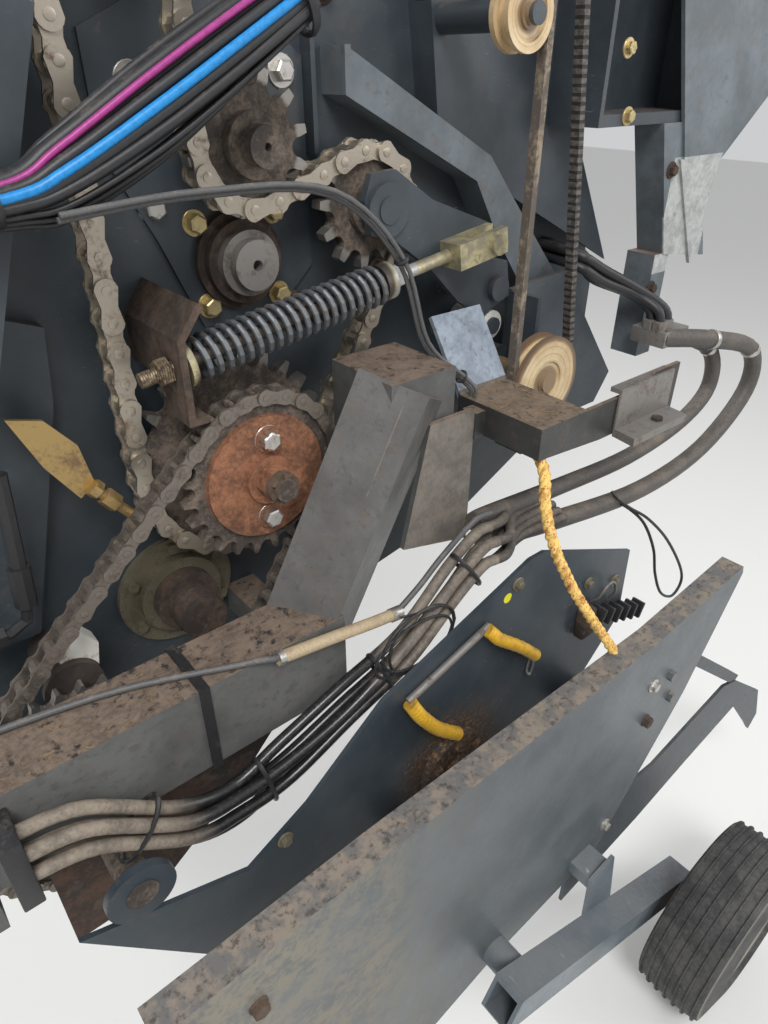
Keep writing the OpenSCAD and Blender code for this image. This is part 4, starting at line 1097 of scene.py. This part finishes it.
ties = [band((x, 54, z), (1, 0, 0.15), 21.5, 6, 0.95) for x, z in ((100, 535), (150, 539), (198, 544))]
ties += [band((486, 54, 684), (1, 0, 0.5), 22, 10, 1.5)]
ties += [band(at, (1, 0, slope), 18, 6, 2.2) for at, slope in (
    ((150, -68, -52), -0.83), ((300, -68, -98), 0.2), ((480, -67, -36), 0.4), ((628, -67, 60), 0.7))]
ties += [band((598, 38, 446), (0.5, 0, -1), 7.5, 5), band((690, 23, 290), (0.5, 0, -0.4), 7.5, 5)]
piece(join(ties), "cable_ties", hose_black, 35)

# %% [markdown]
# The strap round the rail is a box whose two ends are inset and bridged, so that it becomes a thin open
# band. A clamp block is a box with softened edges. The small manifold is such a block with four collars for
# the hoses of the front block, and bright bands hold the thick loop.

# %% Strap, clamp, manifold and hose bands
def block(low, high, edge=0.0015):
    start("cube", size=1, location=[(a + b) / 2 for a, b in zip(low, high)], scale=[b - a for a, b in zip(low, high)])
    bpy.ops.object.mode_set(mode="EDIT")
    bpy.ops.mesh.select_all(action="SELECT")
    bpy.ops.mesh.bevel(offset=edge, segments=2, affect="EDGES")
    done()
    return bpy.context.object


strap = start("cube", size=1, location=(0.256, 0, 0), scale=(0.012, 0.0866, 0.1266))
pick("FACE", lambda f: abs(f.normal.x) > 0.9)
bpy.ops.mesh.inset(thickness=0.0029, use_individual=True)
bpy.ops.mesh.bridge_edge_loops()
piece(strap, "rail_strap", hose_black)
piece(block((0.030, -0.090, -0.045), (0.050, -0.040, 0.045)), "left_hose_clamp", hose_black, 30)
manifold = block((1.130, -0.006, 0.236), (1.200, 0.058, 0.262))
ports = [Matrix.Translation((1.140 + 0.019 * j, 0.014 + 0.017 * i, 0.2685)) for i, j in BLOCK_HOSES]
collars = copied(hex_nut(0.0125, 0.014, 0.0018, 1.15), ports)
piece(join([manifold] + collars), "hose_manifold", steel_grey, 30)
LOOP_BANDS = [((1380, -40, 190), (-0.5, 0, 0.9), 15.5), ((1300, 0, 200), (-1, 0.2, 0.5), 13.5),
              ((1240, -30, 236), (-1, 0.1, 0.2), 15.5)]
piece(join([band(*place, 12) for place in LOOP_BANDS]), "hose_bands", bright, 35)

# %% [markdown]
# A thin cable hangs in a loose coil from the sheath's end. Its loops are ovals drawn a little apart, with a
# lead that comes down from the clasp. A longer cable hangs in a loop below the front hoses.

# %% Cable coil, sheath clasp and hanging loop
OVALS = [(530, 8, 62, 44), (536, 2, 56, 50), (524, -4, 66, 38)]
LEAD = [[520, -60, 31], [534, -76, 40], [548, -86, 46], [560, -86, 44]]
CLASPS = [([[512, -49, 31], [528, -49, 29]], 9.5), ([[344, -48.6, 58], [352, -48.6, 57]], 9)]
LOOP = [[1000, -40, 30], [1006, -57, 16], [1024, -68, 0], [1058, -84, -26], [1114, -98, -84], [1168, -110, -160],
        [1186, -114, -206], [1158, -116, -226], [1112, -114, -196], [1084, -108, -142], [1076, -98, -90],
        [1052, -82, -34], [1022, -62, 0], [1006, -42, 10]]
angles = [math.tau * i / 14 for i in range(15)]
coil = [([(x + rx * math.cos(a), -86.6 + 1.2 * k, z + rz * math.sin(a)) for a in angles], 1.9)
        for k, (x, z, rx, rz) in enumerate(OVALS)]
hoses("thin_cable_coil", coil + [(LEAD, 1.9)], hose_black, parts=3)
hoses("sheath_clasp", CLASPS, bright, sides=4)
hoses("hanging_loop", [(LOOP, 2.6)], hose_black, parts=8)

# %% [markdown]
# ## The tray's folded bracket
# The bracket at the tray's end is one bent sheet: a pale upright web, a lip folded back along its top and a
# foot that comes forward with a rusty bolt. The web is a thin box, and its lower and upper ends are extruded
# first down or up and then out, as a press brake would fold them.

# %% Folded bracket
FOLDS = [
    (lambda f: f.normal.z < -0.9, (0, 0, -0.005)),
    (lambda f: f.normal.y < -0.9 and f.calc_center_median().z < 0.2115, (-0.006, -0.034, 0)),
    (lambda f: f.normal.z > 0.9, (0, 0, 0.006)),
    (lambda f: f.normal.y > 0.9 and f.calc_center_median().z > 0.2685, (0, 0.014, 0)),
]
bracket = block((0.846, -0.1165, 0.212), (0.972, -0.1125, 0.268), 0.0008)
for test, move in FOLDS:
    pick("FACE", test)
    bpy.ops.mesh.extrude_region_move(TRANSFORM_OT_translate={"value": move})
piece(bracket, "tray_bracket", steel_grey, 30)
foot_bolt = bolt(0.0085, 0.0125, 0.0075)
foot_bolt.data.transform(Matrix.Translation((0.918, -0.134, 0.212)) @ Matrix.Rotation(-math.pi / 2, 4, "X"))
piece(foot_bolt, "tray_bracket_bolt", rust_dark, 30)

# %% [markdown]
# ## Ribbed block and wire arch
# Under the two bolts on the pickup's end plate sits a black block with ribs, a wire arch over it and a rusty
# clamp beside it. One rib is modelled and copied along the block, which is then tilted with the plate.

# %% Ribbed block
ARCH = [[897, -102, -112], [898, -114, -98], [906, -118, -80], [922, -118, -76], [938, -116, -90], [944, -114, -112],
        [944, -104, -132]]
base = block((0, -0.010, 0), (0.150, 0, 0.020), 0.001)
rib = block((0, -0.024, -0.004), (0.007, 0, 0.026), 0.001)
comb = join([base] + copied(rib, [Matrix.Translation((0.027 * k, 0, 0)) for k in range(6)]))
comb.data.transform(across(0.902, -0.1005, -0.150, math.radians(22)))
piece(comb, "ribbed_block", hose_black, 30, body="pickup")
hoses("wire_arch", [(ARCH, 2.4)], steel_grey, body="pickup")
piece(block((0.862, -0.120, -0.168), (0.893, -0.1005, -0.112), 0.004), "rusty_clamp", rust_dark, 30, body="pickup")

# %% [markdown]
# ## Straw and chaff
# Straw lies where it drops: on the rail's top, on the ledges and in the corners round the sprockets. One
# straw is a thin three-sided tube with a bend. Copies are turned and scaled by a seeded generator, and each
# lies on a face that points up or towards the camera. The last letter is the axis that the face points along.

# %% Straw bits
RAIL_TOP, TRAY_TOP, WALL_FACE, PANEL_FACE = 0.0606, 0.2626, 0.1874, -0.1005
random.seed(7)
straw = start("cylinder", vertices=3, radius=0.0006, depth=0.018, rotation=(0, math.pi / 2, 0))
pick("EDGE", lambda e: abs(e.verts[0].co.x - e.verts[1].co.x) > 0.015)
bpy.ops.mesh.subdivide(number_cuts=1)
pick("VERT", lambda v: abs(v.co.x) < 0.004)
bpy.ops.transform.translate(value=(0, 0.0014, 0))


def strewn(count, low, high, flat):
    made = []
    for _ in range(count):
        at = [random.uniform(a, b) for a, b in zip(low, high)]
        turn = Matrix.Rotation(random.uniform(0, math.tau), 4, flat)
        made.append(Matrix.Translation(at) @ turn @ Matrix.Diagonal((random.uniform(0.35, 1.1), 1, 1, 1)))
    return made


on_frame = strewn(26, (0.03, -0.036, RAIL_TOP), (0.42, 0.036, RAIL_TOP), "Z")
on_frame += strewn(16, (0.70, -0.10, TRAY_TOP), (0.78, 0.02, TRAY_TOP), "Z")
on_frame += strewn(26, (0.45, WALL_FACE, 0.12), (0.62, WALL_FACE, 0.36), "Y")
on_frame += strewn(26, (0.36, WALL_FACE, 0.62), (0.50, WALL_FACE, 0.72), "Y")
on_frame += strewn(18, (0.70, WALL_FACE, 0.10), (0.88, WALL_FACE, 0.50), "Y")
on_pickup = strewn(34, (0.50, PANEL_FACE, -0.36), (0.66, PANEL_FACE, -0.20), "Y")
on_pickup += strewn(20, (0.62, PANEL_FACE, -0.20), (0.86, PANEL_FACE, -0.05), "Y")
straws = copied(straw, on_frame + on_pickup)
piece(join(straws[:len(on_frame)]), "straw_bits", straw_dry)
piece(join(straws[len(on_frame):]), "pickup_straw_bits", straw_dry, body="pickup")

# %% [markdown]
# ## Floor and light
# A plain pale floor and three broad soft lamps. The floor lies at the foot of the tyre, and a pale world
# fills the shadows, as an overcast day in a farmyard does.

# %% Stage
low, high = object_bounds()
bpy.ops.object.select_all(action="DESELECT")
bpy.ops.mesh.primitive_plane_add(size=30, location=(0.6, 0, low[2] - 0.001))
floor = bpy.context.object
floor.name = "floor"
floor_look = bpy.data.materials.new("floor_pale")
floor_look.use_nodes = True
surface = floor_look.node_tree.nodes["Principled BSDF"].inputs
surface["Base Color"].default_value = (0.72, 0.72, 0.70, 1)
surface["Roughness"].default_value = 0.8
floor.data.materials.append(floor_look)
world = bpy.data.worlds.new("world")
world.use_nodes = True
sky = world.node_tree.nodes["Background"].inputs
sky["Color"].default_value, sky["Strength"].default_value = (0.97, 0.98, 1, 1), 0.62
bpy.context.scene.world = world
LAMPS = [("key", (-0.9, -2.2, 3.2), 1.3, 120), ("fill", (3.2, -2.2, 1.8), 2.5, 45),
         ("back", (1.2, 2.4, 2.6), 2.5, 45)]
for name, place, size, power in LAMPS:
    data = bpy.data.lights.new(name, "AREA")
    data.size, data.energy = size, power
    lamp = bpy.data.objects.new(name, data)
    lamp.location = place
    lamp.rotation_euler = (Vector((0.6, 0, 0)) - Vector(place)).to_track_quat("-Z", "Y").to_euler()
    bpy.context.scene.collection.objects.link(lamp)
bpy.context.scene.view_settings.view_transform = "Standard"
print("floor at", round(low[2], 3), "and top at", round(high[2], 3))

# %% [markdown]
